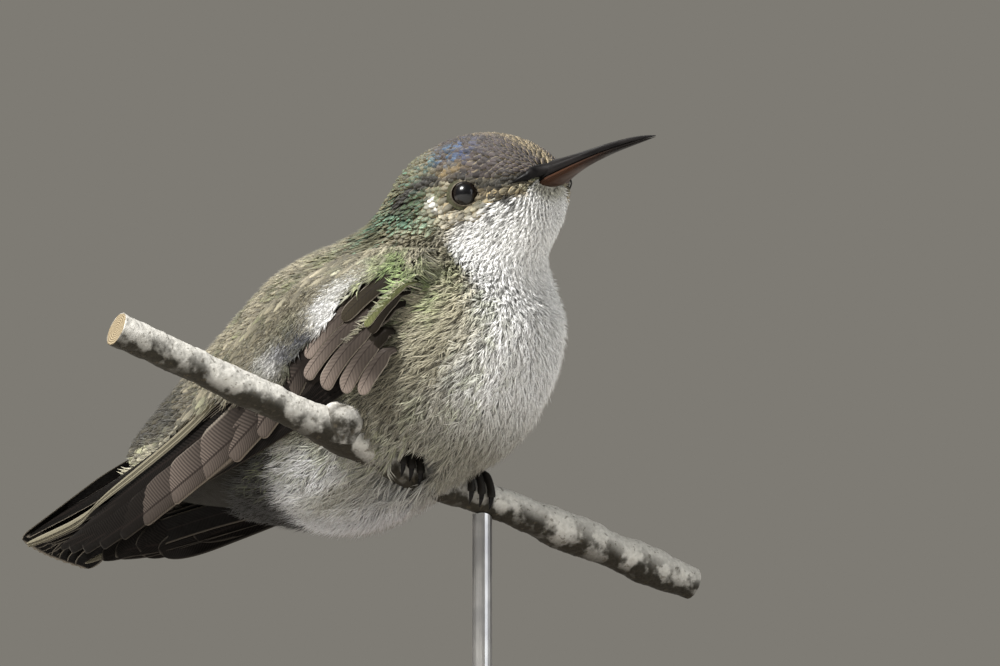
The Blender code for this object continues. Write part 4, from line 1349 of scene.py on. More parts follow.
class HUMMINGBIRD_OT_eyes(HummingbirdOperator, bpy.types.Operator):
    """Make the wet black eyes and the rings of lids that hold them"""

    bl_idname = "hummingbird.eyes"
    bl_label = "Eyes"

    def execute(self, context):
        surface, lid = eye_material(), lid_material()
        for side, left in (("right", -1.0), ("left", 1.0)):
            self.ball(side, left, surface)
            self.lids(side, left, lid)
        return {"FINISHED"}

    def ball(self, side, left, surface):
        """The eyeball: a sphere with a slightly raised cornea, as rings from its front to its back."""
        centre, out, forward, up = eye_basis(left)
        polar = np.linspace(0.0, math.pi, 44)[1:-1]
        around = angles(64)
        radius = EYE_RADIUS - 0.04 + 0.06 * bump(polar, 0.0, 0.6)
        disc = forward * np.cos(around)[:, None] + up * np.sin(around)[:, None]
        rings = centre + radius[:, None, None] * (np.cos(polar)[:, None, None] * out
                                                  + np.sin(polar)[:, None, None] * disc[None])
        quads, triangles = ring_faces(1, len(polar), 64)
        points = tube_points((centre + out * (EYE_RADIUS + 0.02))[None], rings[None],
                             (centre - out * (EYE_RADIUS - 0.04))[None])
        along = np.concatenate([[0.0], np.repeat(polar / math.pi, 64), [1.0]])
        piece = Piece()
        piece.add(points, quads, triangles, Along=along)
        piece.build(f"eyeball_{side}", surface, "eye", (f"eye_{side}",))

    def lids(self, side, left, surface):
        """The lids: a soft ring that hugs the ball, from the opening out to under the face's feathers."""
        centre, out, forward, up = eye_basis(left)
        around = angles(96)
        reach = np.array([1.60, 1.59, 1.62, 1.68, 1.76, 1.86, 2.0, 2.16, 2.34, 2.2, 2.0, 1.8, 1.7])
        rise = np.array([0.03, 0.09, 0.15, 0.19, 0.17, 0.10, 0.04, -0.06, -0.25, -0.6, -0.5, -0.4, -0.2])
        ball = np.sqrt(np.maximum(EYE_RADIUS ** 2 - np.minimum(reach, 1.84) ** 2, 0.0))
        height = ball + rise
        height[5:9] = np.linspace(height[4], 0.72, 5)[1:]
        height[9:] = (0.35, 0.45, 0.6, 1.0)
        shape = 1.0 + 0.05 * np.cos(2.0 * around)[:, None] - 0.03 * np.maximum(np.sin(around), 0.0)[:, None]
        ripple = 0.012 * np.sin(26.0 * around)[:, None] * bump(reach, 1.75, 0.15)
        disc = forward * np.cos(around)[:, None] + up * np.sin(around)[:, None]
        ring = centre + disc[:, None] * (reach * shape)[..., None] + out * (height + ripple)[..., None]
        number = np.arange(reach.size * around.size).reshape(around.size, reach.size)
        after = np.roll(number, -1, axis=0)
        quads = np.stack([number, after, np.roll(after, -1, axis=1), np.roll(number, -1, axis=1)], axis=-1)
        margin = np.array([0.0, 0.1, 0.5, 0.9, 0.5, 0.1, 0.0, 0, 0, 0, 0, 0, 0])
        outside = np.array([0, 0, 0, 0, 0.2, 0.8, 1, 1, 1, 1, 1, 1, 1.0])
        dark = np.broadcast_to(COLOURS["dark"], ring.shape)
        tint = blend(dark, np.multiply(COLOURS["nape"], 0.45), outside)
        worn = margin * (0.55 + 0.45 * np.sin(around - 0.4)[:, None] ** 2)
        tint = blend(tint, paint(128, 120, 106), worn)
        piece = Piece()
        piece.add(ring.reshape(-1, 3), quads.reshape(-1, 4), np.zeros((0, 3), dtype=int),
                  Tint=tint.reshape(-1, 3))
        piece.build(f"eyelids_{side}", surface, "head_plumage")


class HUMMINGBIRD_OT_bill(HummingbirdOperator, bpy.types.Operator):
    """Make the two mandibles, with the nostril groove, the cutting edge and the hooked gape"""

    bl_idname = "hummingbird.bill"
    bl_label = "Bill"

    def execute(self, context):
        upper = horn_material("bill_horn", paint(9, 8, 9), paint(20, 17, 16), 0.4)
        lower = horn_material("bill_lower_horn", paint(14, 11, 10), paint(64, 42, 30), 0.38)
        self.half("mandible_upper", True, upper, "bill_upper")
        self.half("mandible_lower", False, lower, "bill_lower")
        return {"FINISHED"}

    def half(self, name, upper, surface, node):
        """One mandible: a tapering half round, drooping a little, with a groove along its side.

        Its breadth and depth are sums of a falling exponential at the base and a slow taper, closed at
        the tip by a high power of the share. The groove is a dent at one height, deepest near the base.
        """
        share = np.linspace(-0.16, 1.0, 120)
        ahead = HEAD_CENTRE[0] + BILL_START + share * BILL_LENGTH
        clipped = np.maximum(share, 0.0)
        level = BILL_LEVEL + BILL_RISE * share + BILL_DROOP * 4.0 * share * (1.0 - share)
        deep = (1.25 * np.exp(-clipped * 3.2) + 0.55) * (1.0 - clipped ** 6) + 0.06
        deep = deep * (0.98 if upper else 0.56) * (1.0 - 0.35 * ramp(-share, 0.0, 0.16))
        wide = (1.35 * np.exp(-clipped * 3.6) + 0.72 * (1.0 - clipped * 0.35)) * (1.0 - 0.86 * clipped ** 5)
        wide = wide * (1.0 if upper else 0.94) * (1.0 - 0.25 * ramp(-share, 0.0, 0.16))
        around = np.linspace(0.0, math.pi, 33)
        breadth = np.sin(around)
        sign = 1.0 if upper else -1.0
        groove = 0.10 * bump(breadth, 0.55, 0.13) * fall(share, 0.1, 0.5)[:, None]
        groove = groove + 0.05 * bump(breadth, 0.12, 0.1) * (1.0 - clipped ** 2)[:, None]
        side = wide[:, None] * np.cos(around) * (1.0 - groove)
        height = breadth ** 0.8
        sag = 0.42 * np.exp(-clipped * 2.6)[:, None]
        lift = sign * (0.06 + deep[:, None] * height * (1.0 - 0.6 * groove)) - sag * (1.0 - height)
        inner = np.linspace(-0.9, 0.9, 9)
        rows = np.concatenate([side, wide[:, None] * inner], axis=1)
        flat = np.repeat(sign * 0.06 - sag, inner.size, axis=1)
        lifts = level[:, None] + np.concatenate([lift, flat], axis=1)
        grid = np.stack([np.broadcast_to(ahead[:, None], rows.shape), rows, lifts], axis=-1)
        breadth = np.concatenate([breadth, np.zeros(inner.size)])
        if upper:
            warm = (0.30 * fall(share, 0.0, 0.35))[:, None] * (1.0 - breadth)
        else:
            warm = fall(share, 0.15, 0.66)[:, None] * (1.0 - 0.25 * breadth)
        piece = Piece()
        piece.add(*closed_grid(turn_head(grid)), Warm=with_ends(warm))
        if upper:
            self.gape(piece)
        piece.build(name, surface, node, (node,))

    def gape(self, piece):
        """The bare wedge on each side of the face: from the gape forwards, and on into the bill's side."""
        share = np.linspace(0.0, 1.0, 34)
        station = np.maximum(2.6 - 3.1 * share, 0.3)
        degrees = np.interp(station, [0.3, 1.15, 2.6], [76.0, 96.0, 103.5])
        into = ramp(share, 0.66, 1.0)
        for left in (-1.0, 1.0):
            around = left * np.radians(degrees)
            normal, _, _ = body_frame(station, around)
            stand = 0.1 + 0.25 * ramp(share, 0.0, 0.5)
            face = body_surface(station, around) + normal * stand[:, None]
            inside = turn_head(np.array([HEAD_CENTRE[0] + BILL_START + 0.12 * BILL_LENGTH, left * 0.3,
                                         BILL_LEVEL + 0.12 * BILL_RISE + 0.5]))
            points = (face + (inside - face) * into[:, None])[None]
            half = (GAPE_HALF[left > 0.0] * share ** 0.8 * (1.0 - 0.35 * into))[None, 1:-1]
            rings, _ = vane_rings(points[:, 1:-1], sideways(points, normal)[:, 1:-1], normal[None, 1:-1],
                                  half, 0.3 * half, 0.2, 9)
            tube = tube_points(points[:, 0], rings, points[:, -1])
            piece.add(tube, *ring_faces(*rings.shape[:3]), Warm=np.zeros(len(tube)))


def toe_path(along, spread, start, sweep, count):
    """An arc round the branch, from its top towards the front or the back."""
    base = perch_point(along + spread)
    share = np.linspace(0.0, 1.0, count)
    angle = np.radians(start + sweep * share)
    radius = PERCH_RADIUS + GRIP_GAP + TOE_RADIUS + 0.15 * share ** 2
    rise = np.cos(angle)[:, None] * [0.0, 0.0, 1.0]
    return base + radius[:, None] * (rise + np.sin(angle)[:, None] * PERCH_FRONT)


def round_tube(points, radii, sides, flatten=1.0):
    """Rings round a path with given radii, flattened in the direction away from the branch."""
    tangent = unit(np.gradient(points, axis=0))
    side = unit(np.cross(tangent, [0.31, 0.17, 0.93]))
    up = np.cross(side, tangent)
    spoke = spokes(side, flatten * up, sides)
    return points[:, None] + spoke * radii[:, None, None]


class HUMMINGBIRD_OT_feet(HummingbirdOperator, bpy.types.Operator):
    """Make the scaly feet that grip the branch, and their curved claws"""

    bl_idname = "hummingbird.feet"
    bl_label = "Feet"

    def execute(self, context):
        scaly = horn_material("foot_scale", paint(28, 26, 23), paint(52, 47, 40), 0.42)
        claw = horn_material("claw_horn", paint(16, 15, 15), paint(44, 38, 34), 0.26)
        for side in ("right", "left"):
            self.foot(side, scaly, claw)
        return {"FINISHED"}

    def foot(self, side, scaly, claw):
        """A tarsus, three toes ahead and one behind; scales are ripples in the radius, pads are swellings."""
        along = FOOT_ALONG[side]
        foot, claws = Piece(), Piece()
        top = toe_path(along, 0.0, 0.0, 1.0, 2)[0]
        shaft = spline(top + np.array([[-0.2, 0.0, -0.3], [-0.5, 0.0, 1.2], [-0.9, 0.0, 2.6],
                                       [-1.2, 0.0, TARSUS_LENGTH]]), np.linspace(0.0, 3.0, 40))
        share = np.linspace(0.0, 1.0, 40)
        ripple = 1.0 + 0.06 * np.abs(np.sin(share * math.pi * 9.0))
        self.add(foot, round_tube(shaft, TARSUS_RADIUS * (1.2 - 0.25 * share) * ripple, 18), 0.1)
        toes = [(spread * TOE_SPREAD, -12.0, 152.0) for spread in (-1.0, 0.0, 1.0)]
        toes.append((0.1, 12.0, -138.0))
        for spread, start, sweep in toes:
            path = toe_path(along, spread, start, sweep, TOE_POINTS)
            root = top * 0.8 + path[0] * 0.2
            lead = np.linspace(0.0, 1.0, TOE_ROOT)[:, None]
            path[:TOE_ROOT] = root + (path[TOE_ROOT - 1] - root) * lead
            toe = path[:TOE_END]
            share = np.linspace(0.0, 1.0, len(toe))
            ripple = 1.0 + 0.055 * np.abs(np.sin(share * math.pi * 11.0)) + 0.12 * bump(share, 0.45, 0.1)
            ripple = ripple + 0.14 * bump(share, 0.93, 0.07)
            self.add(foot, round_tube(toe, TOE_RADIUS * (1.2 - 0.2 * share) * ripple, 16), 0.0)
            nail = path[CLAW_START:CLAW_END]
            share = np.linspace(0.0, 1.0, len(nail))
            self.add(claws, round_tube(nail, TOE_RADIUS * (0.88 * (1.0 - share ** 1.6) + 0.05), 14, 0.9), 0.0)
        foot.build(f"foot_{side}", scaly, "foot_horn", (f"leg_{side}",))
        claws.build(f"claws_{side}", claw, "foot_horn")

    def add(self, piece, rings, warm):
        """Add one closed tube to a piece."""
        piece.add(*closed_grid(rings), Warm=with_ends(np.full(rings.shape[:2], warm)))


# Plumage -----------------------------------------------------

COAT_LIMIT = 190000  # triangles in one piece of the coat
PALE_GAIN = 11.0  # how soon a feather's fringe pales as its tint brightens
DOWN_START = ((0.0, 98.0), (3.0, 104.0), (5.0, 104.0), (6.2, 96.0), (7.0, 84.0), (8.0, 76.0), (9.0, 74.0),
              (10.0, 66.0), (11.0, 58.0), (12.0, 58.0), (14.0, 62.0), (15.5, 86.0), (19.0, 90.0))


def lie(station, around):
    """Which way the plumage points: mostly straight back, and towards the back beside the folded wing."""
    a = from_back(around)
    turn = 0.50 * bump(station, 12.0, 1.8) * bump(a, 82.0, 16.0)
    turn = turn - 0.72 * bump(station, 9.9, 1.5) * bump(a, 112.0, 20.0)
    turn = turn - 0.32 * bump(station, 8.2, 2.0) * bump(a, 140.0, 22.0)
    swirl = lattice_noise(body_surface(station, around), 3.2, 21)
    return turn + 0.22 * swirl


def down_share(station, around):
    """Where the coat is loose down: below an edge on the face and flanks, and clear of wing, eye and feet."""
    edge = read_table(DOWN_START, station)
    below = ramp(from_back(around), edge - 5.0, edge + 5.0) * (1.0 - 0.45 * ramp(station, 16.0, 17.5))
    return below * bare_under_wing(station, around) * (1.0 - near_feet(station, around, 2.6))


def scale_share(station, around):
    """Where the head has small scale-like feathers: above the edge of the down, clear of the eye."""
    edge = read_table(DOWN_START, station)
    above = fall(from_back(around), edge - 2.0, edge + 12.0) * fall(station, 7.4, 8.4)
    return above * ramp(station, 0.02, 0.12) * (1.0 - near_eye(station, around, 1.1))


def back_share(station, around):
    """Where the back has broad soft feathers: above the edge of the down, from the neck to the tail."""
    edge = read_table(DOWN_START, station)
    above = fall(from_back(around), edge + 2.0, edge + 18.0)
    return (above * ramp(station, 6.8, 8.0) * fall(station, 17.4, 18.0)
            * bare_under_wing(station, around))


def everywhere(value):
    """A function of the station and the angle that is the same all over the body."""
    return lambda station, around: np.full(np.shape(station), value)


def split_build(name, count, each, make, surface, slot):
    """Build like things in as few pieces as keep under the limit; make(slice) gives a filled piece."""
    parts = max(1, math.ceil(count * each / COAT_LIMIT))
    bounds = np.linspace(0, count, parts + 1).astype(int)
    for number in range(parts):
        make(slice(bounds[number], bounds[number + 1])).build(f"{name}_{number + 1}", surface, slot)


def lay_down(name, surface, slot, seed, density, length, lift, fade, per_area, barbs, width, spread, tone,
             wander=0.16, sink=1.05, stand=0.2):
    """Lay tufts of loose down: each is a fan of barbs, flat three-sided spikes that end in a point.

    A barb runs from under the skin's surface to its tip over the outline; the middle barb is longest and
    the outer ones turn aside by the spread. Density, length, lift and fade are functions of the station
    and angle. Tone is the range of a tuft's brightness, wander how far barbs stray from their heading,
    sink how deep the roots lie for the coat's depth, and stand how far the boldest tips stand off.
    """
    station, around, random = scatter(per_area, density, seed)
    count = len(station)
    fan = np.linspace(-1.0, 1.0, barbs)
    shape = (count, barbs)
    turn = lie(station, around)[:, None] + spread * fan + random.normal(0.0, 0.4 * wander, shape)
    run = length(station, around)[:, None] * (1.0 - 0.24 * fan ** 2) * random.uniform(0.8, 1.15, shape)
    girth = np.maximum(np.linalg.norm(body_frame(station, around)[2], axis=-1), LEAST_GIRTH)[:, None]
    root_s = np.repeat(station[:, None], barbs, axis=1)
    root_a = around[:, None] + fan * 0.12 / girth
    rise = lift(station, around)[:, None] + stand * random.uniform(0.0, 1.0, (count, 1)) ** 3
    rise = rise + random.uniform(-0.08, 0.10, shape)
    # white down is all of one tone, and lies flatter
    edge = white_edge(station, around)
    even = ramp(from_back(around), edge, edge + 14.0) * fall(station, 11.0, 12.5)
    even = np.maximum(even, white_patch(station, from_back(around)))
    shade = random.uniform(0.88, 1.12, shape) * random.uniform(*tone, count)[:, None]
    shade = shade + (1.0 - shade) * 0.7 * even[:, None]
    bend = random.normal(0.0, wander, count)[:, None] + random.normal(0.0, 0.5 * wander, shape)
    half_width = 0.5 * width * random.uniform(0.7, 1.3, shape)
    tint, glitter = markings(station, around)
    place = bake_place(station, around)
    pale = fade(station, around)
    share = np.array([0.0, 0.16, 0.64, 1.0])
    below = np.array([1.0, 0.7, 0.2, 0.0])

    def make(part):
        """The tufts of one piece."""
        s, a, heading, reach, top, sway, half, tone_here = (values[part].reshape(-1) for values in (
            root_s, root_a, turn, run, rise, bend, half_width, shade))
        height = -coat_depth(s)[:, None] * below * sink + top[:, None] * share ** 1.4
        points, normal = follow(s, a, heading, reach, share, height, sway)
        points = clear_of_wing(points, 0.12 + 0.35 * share)
        out = sideways(points, normal)[:, 1:3] * (half[:, None] * [0.85, 0.9])[..., None]
        ridge = normal[:, 1:3] * (np.repeat(0.6 - 0.3 * even[part], barbs) * half)[:, None, None]
        inner = points[:, 1:3]
        colour = np.repeat(tint[part], barbs, axis=0) * tone_here[:, None]
        spot = np.repeat(place[part], barbs, axis=0)
        spot[:, 0] += np.tile(fan, len(s) // barbs) * 0.001
        piece = Piece()
        add_tubes(piece, points, np.stack([inner - out, inner + out, inner + ridge], axis=2),
                  np.array([-0.3, 0.3, 0.0]), np.clip(colour, 0.0, 0.95), np.repeat(pale[part], barbs),
                  np.repeat(glitter[part], barbs), bake=spot, fade_span=(0.1, 0.9))
        return piece

    split_build(name, count, barbs * 12, make, surface, slot)


def lay_scales(name, surface, slot, seed, density, length, breadth, lift, fade, per_area, rows, columns, tone,
               point=0.0):
    """Lay vanes: arched lenses that follow the outline from under the coat's surface to their free tips.

    Their half-width rises from the root by a square root, holds, and rounds off at the tip, or narrows
    to a point by the given share.
    """
    station, around, random = scatter(per_area, density, seed)
    count = len(station)
    heading = lie(station, around) + random.normal(0.0, 0.12, count)
    run = length(station, around) * random.uniform(0.85, 1.15, count)
    half = 0.5 * run * breadth(station, around) * random.uniform(0.9, 1.1, count)
    rise = lift(station, around) + random.uniform(-0.06, 0.14, count)
    shade = random.uniform(*tone, count)
    tint, glitter = markings(station, around)
    place = bake_place(station, around)
    dull = fade(station, around)
    inner = np.linspace(0.08, 0.93, rows)
    share = np.concatenate([[0.0], inner, [1.0]])
    profile = np.sqrt(np.clip(inner * 3.0, 0.0, 1.0)) * np.sqrt(1.0 - inner ** 4) * (1.0 - point * inner ** 2)

    def make(part):
        """The vanes of one piece."""
        s, a = station[part], around[part]
        height = -0.8 * coat_depth(s)[:, None] * (1.0 - share) ** 1.3 + rise[part][:, None] * share ** 1.5
        points, normal = follow(s, a, heading[part], run[part], share, height)
        points = clear_of_wing(points, 0.12 + 0.3 * share)
        widths = half[part][:, None] * profile
        rings, across = vane_rings(points[:, 1:-1], sideways(points, normal)[:, 1:-1], normal[:, 1:-1],
                                   widths, 0.22 * widths, 0.05, columns)
        piece = Piece()
        add_tubes(piece, points, rings, across, np.clip(tint[part] * shade[part][:, None], 0.0, 0.95),
                  dull[part], glitter[part], np.clip(tint[part].mean(axis=-1) * PALE_GAIN, 0.0, 1.0),
                  place[part], (run[part], half[part]))
        return piece

    split_build(name, count, 4 * rows * (columns - 1), make, surface, slot)


class HUMMINGBIRD_OT_down(HummingbirdOperator, bpy.types.Operator):
    """Lay the loose down of throat, breast, flanks, belly and vent"""

    bl_idname = "hummingbird.down"
    bl_label = "Down"

    def execute(self, context):
        coat = context.scene.hummingbird_coat
        surface = plumage_material("down_barbs", 0.75)
        width = coat.barb_width / MM

        def length(station, around):
            """Short on the throat, longer down the body, longest at the vent."""
            return (0.9 + 0.9 * ramp(station, 2.0, 6.0) + 1.1 * ramp(station, 7.0, 10.0)
                    + 1.4 * ramp(station, 12.6, 14.0) - 1.2 * ramp(station, 15.0, 18.0))

        def lift(station, around):
            """Tips stand out a little, and most at the vent."""
            return (0.14 + 0.16 * ramp(station, 3.0, 8.0)
                    + 1.5 * bump(station, 14.2, 1.2) * ramp(from_back(around), 112.0, 150.0))

        def fade(station, around):
            """Roots are grey down: darkest on the flanks, pale on the white parts."""
            under = ramp(from_back(around) - white_edge(station, around), -10.0, 14.0)
            return 0.22 + 0.6 * np.maximum(under, white_patch(station, from_back(around)))

        def face(station, around):
            """The down of the throat and cheeks."""
            clear = 1.0 - near_eye(station, around, 1.4)
            return down_share(station, around) * fall(station, 6.6, 7.2) * clear * coat.density

        def body(station, around):
            """The down behind the throat."""
            return down_share(station, around) * ramp(station, 6.6, 7.2) * coat.density

        low = everywhere(-0.22)  # an under layer keeps below the tips of the one over it
        # the under layers take darker tones than the layers over them: painted shade in the gaps between the
        # upper tufts
        lay_down("down_face_under", surface, "head_plumage", 41, face, length, low, fade, per_area=5.2,
                 barbs=4, width=width * 0.9, spread=0.34, tone=(0.62, 0.8))
        lay_down("down_face", surface, "head_plumage", 43, face, length, lift, fade, per_area=3.6,
                 barbs=4, width=width * 0.9, spread=0.22, tone=(0.8, 1.08))
        lay_down("down_under", surface, "trunk_plumage", 42, body, length, low, fade, per_area=2.2,
                 barbs=5, width=width * 1.15, spread=0.34, tone=(0.45, 0.7))
        lay_down("down_upper", surface, "trunk_plumage", 44, body, length, lift, fade, per_area=1.9,
                 barbs=5, width=width * 1.05, spread=0.16, tone=(0.72, 1.14), wander=0.22, sink=1.0,
                 stand=0.5)
        return {"FINISHED"}


class HUMMINGBIRD_OT_scales(HummingbirdOperator, bpy.types.Operator):
    """Lay the small scale feathers of the crown, face and nape"""

    bl_idname = "hummingbird.scales"
    bl_label = "Head scales"

    def execute(self, context):
        coat = context.scene.hummingbird_coat
        surface = plumage_material("head_scales", 0.55, 7.0, 0.2, 0.7)
        small = coat.scale_length / MM
        lay_scales("scales_head", surface, "head_plumage", 51, lambda s, a: scale_share(s, a) * coat.density,
                   length=lambda s, a: small * (0.95 + 0.75 * ramp(s, 1.0, 4.0) + 0.75 * ramp(s, 5.6, 8.0)),
                   breadth=lambda s, a: 0.72 - 0.26 * ramp(s, 5.5, 7.5),
                   lift=lambda s, a: 0.08 + 0.12 * ramp(s, 4.0, 8.0) + 0.25 * bump(s, 6.7, 1.2),
                   fade=everywhere(0.25), per_area=3.4, rows=4, columns=3, tone=(0.42, 1.3))
        return {"FINISHED"}


class HUMMINGBIRD_OT_back(HummingbirdOperator, bpy.types.Operator):
    """Lay the broad soft feathers of the back and rump, and the loose barbs over them"""

    bl_idname = "hummingbird.back"
    bl_label = "Back"

    def execute(self, context):
        coat = context.scene.hummingbird_coat

        def share(s, a):
            """Where the back's feathers are, as thick as the settings say."""
            return back_share(s, a) * coat.density

        def length(s, a):
            """Short on the neck, longest on the rump."""
            return coat.back_length / MM * (0.62 + 0.38 * ramp(s, 8.0, 11.0) + 0.15 * ramp(s, 14.0, 17.0))

        def lift(s, a):
            """Tips stand out more down the back."""
            return 0.10 + 0.18 * ramp(s, 9.0, 13.0)

        lay_scales("feathers_back", plumage_material("back_vanes", 0.65, 4.0, 0.35, 0.25), "trunk_plumage",
                   61, share, length, everywhere(0.40), lift, everywhere(0.22), per_area=1.2, rows=6,
                   columns=5, tone=(0.5, 1.25), point=0.5)
        lay_down("barbs_back", plumage_material("back_barbs", 0.7), "trunk_plumage", 62, share,
                 lambda s, a: 0.8 * length(s, a), lambda s, a: lift(s, a) + 0.10, everywhere(0.22),
                 per_area=1.7, barbs=5, width=coat.barb_width / MM * 1.1, spread=0.16, tone=(0.5, 1.25),
                 wander=0.18, sink=0.7, stand=0.3)
        return {"FINISHED"}


# Flight feathers ---------------------------------------------

VANE_ACROSS = np.array([-1.0, -0.8, -0.5, -0.2, -0.05, 0.05, 0.2, 0.5, 0.8, 1.0])
VANE_SHARE = np.concatenate([VANE_ACROSS, VANE_ACROSS[-2:0:-1]])  # over the top and back underneath
VANE_FACE = np.concatenate([np.ones(len(VANE_ACROSS)), -np.ones(len(VANE_ACROSS) - 2)])


def arc(start, middle, end, share):
    """A curve from start to end that bends towards the middle (a quadratic Bezier), for many feathers."""
    share = share[:, None]
    start, middle, end = (np.asarray(value, dtype=float)[:, None, :] for value in (start, middle, end))
    return (1 - share) ** 2 * start + 2 * share * (1 - share) * middle + share ** 2 * end


def web(share, width, length, cut):
    """Half-widths along a web: it opens out over the first third and rounds off over a cut at the tip."""
    width = np.broadcast_to(width, len(length))[:, None]
    start = (1.0 - cut / length)[:, None]
    end = np.clip((share - start) / (1.0 - start), 0.0, 1.0)
    return width * (0.4 + 0.6 * ramp(share, 0.0, 0.35)) * np.sqrt(np.clip(1.0 - end ** 2.2, 0.0, 1.0))


def arch_heights(low, up, camber, thickness, share, shingle):
    """Heights over a feather: an arch of so much of its width, a thin lens, a shaft and a tile's tilt.

    The shaft is a hill along the middle of the upper face that fades towards the tip.
    """
    lens = 1.0 - VANE_SHARE ** 2
    shaft = (1.0 - share)[:, None] * (0.07 * bump(VANE_SHARE, 0.0, 0.07) * (VANE_FACE > 0.0))
    arch = (camber * (low + up))[..., None] * lens
    return arch + 0.5 * thickness * VANE_FACE * lens + shaft - shingle * VANE_SHARE


def wing_face(x, z, layer, left):
    """Points over the folded wing's inner face by a height, in the leaned pose; the left wing is mirrored.

    The left wing's rear is tucked in and lowered a little.
    """
    wrist, tip = WING_ROWS[0, 0], WING_ROWS[-1, 0]
    far = (wrist - x) / (wrist - tip)
    reach = read_map(WING_INNER, x, z) - (2.6 * ramp(far, 0.4, 1.0) if left else 0.0) + layer
    level = z - (0.4 * ramp(far, 0.3, 0.7) if left else 0.0)
    return lean(np.stack([x, reach if left else -reach, level], axis=-1))


def lay_on_wing(piece, left, thickness, curve, layer, webs, cut, tint, pale, dull, dull_span, barbed=1.0):
    """Lay feathers on the folded wing along curves in x and z, each vane shaped to the wing's face.

    A curve is a start, a middle and an end. Webs are the half-widths below and above the shaft, and cut
    is how far from the tip each rounds off. Dull is how dark the root is beside the tip, over a span of
    the length. Barbed is 0 for a feather without barb lines.
    """
    share = 1.0 - (1.0 - np.linspace(0.0, 1.0, 40)) ** 1.4
    inner = share[1:-1]
    path = arc(*curve, share)
    heading = unit(np.gradient(path, axis=1))
    length = path_lengths(path)
    square = np.stack([heading[..., 1], -heading[..., 0]], axis=-1)[:, 1:-1, None]
    below, above = (web(inner, width, length, end) for width, end in zip(webs, cut))
    half = np.where(VANE_SHARE < 0.0, below[..., None], above[..., None])
    flat = path[:, 1:-1, None] + square * (half * VANE_SHARE)[..., None]
    level = np.asarray(layer)[:, None] - 0.9 * fall(share, 0.0, 0.15)
    height = arch_heights(below, above, 0.07, thickness, inner, 0.05) + level[:, 1:-1, None]
    add_tubes(piece, wing_face(path[..., 0], path[..., 1], level, left),
              wing_face(flat[..., 0], flat[..., 1], height, left), VANE_SHARE, tint, dull, pale=pale,
              reach=(length * barbed, 0.5 * (webs[0] + webs[1]) * barbed), fade_span=dull_span)


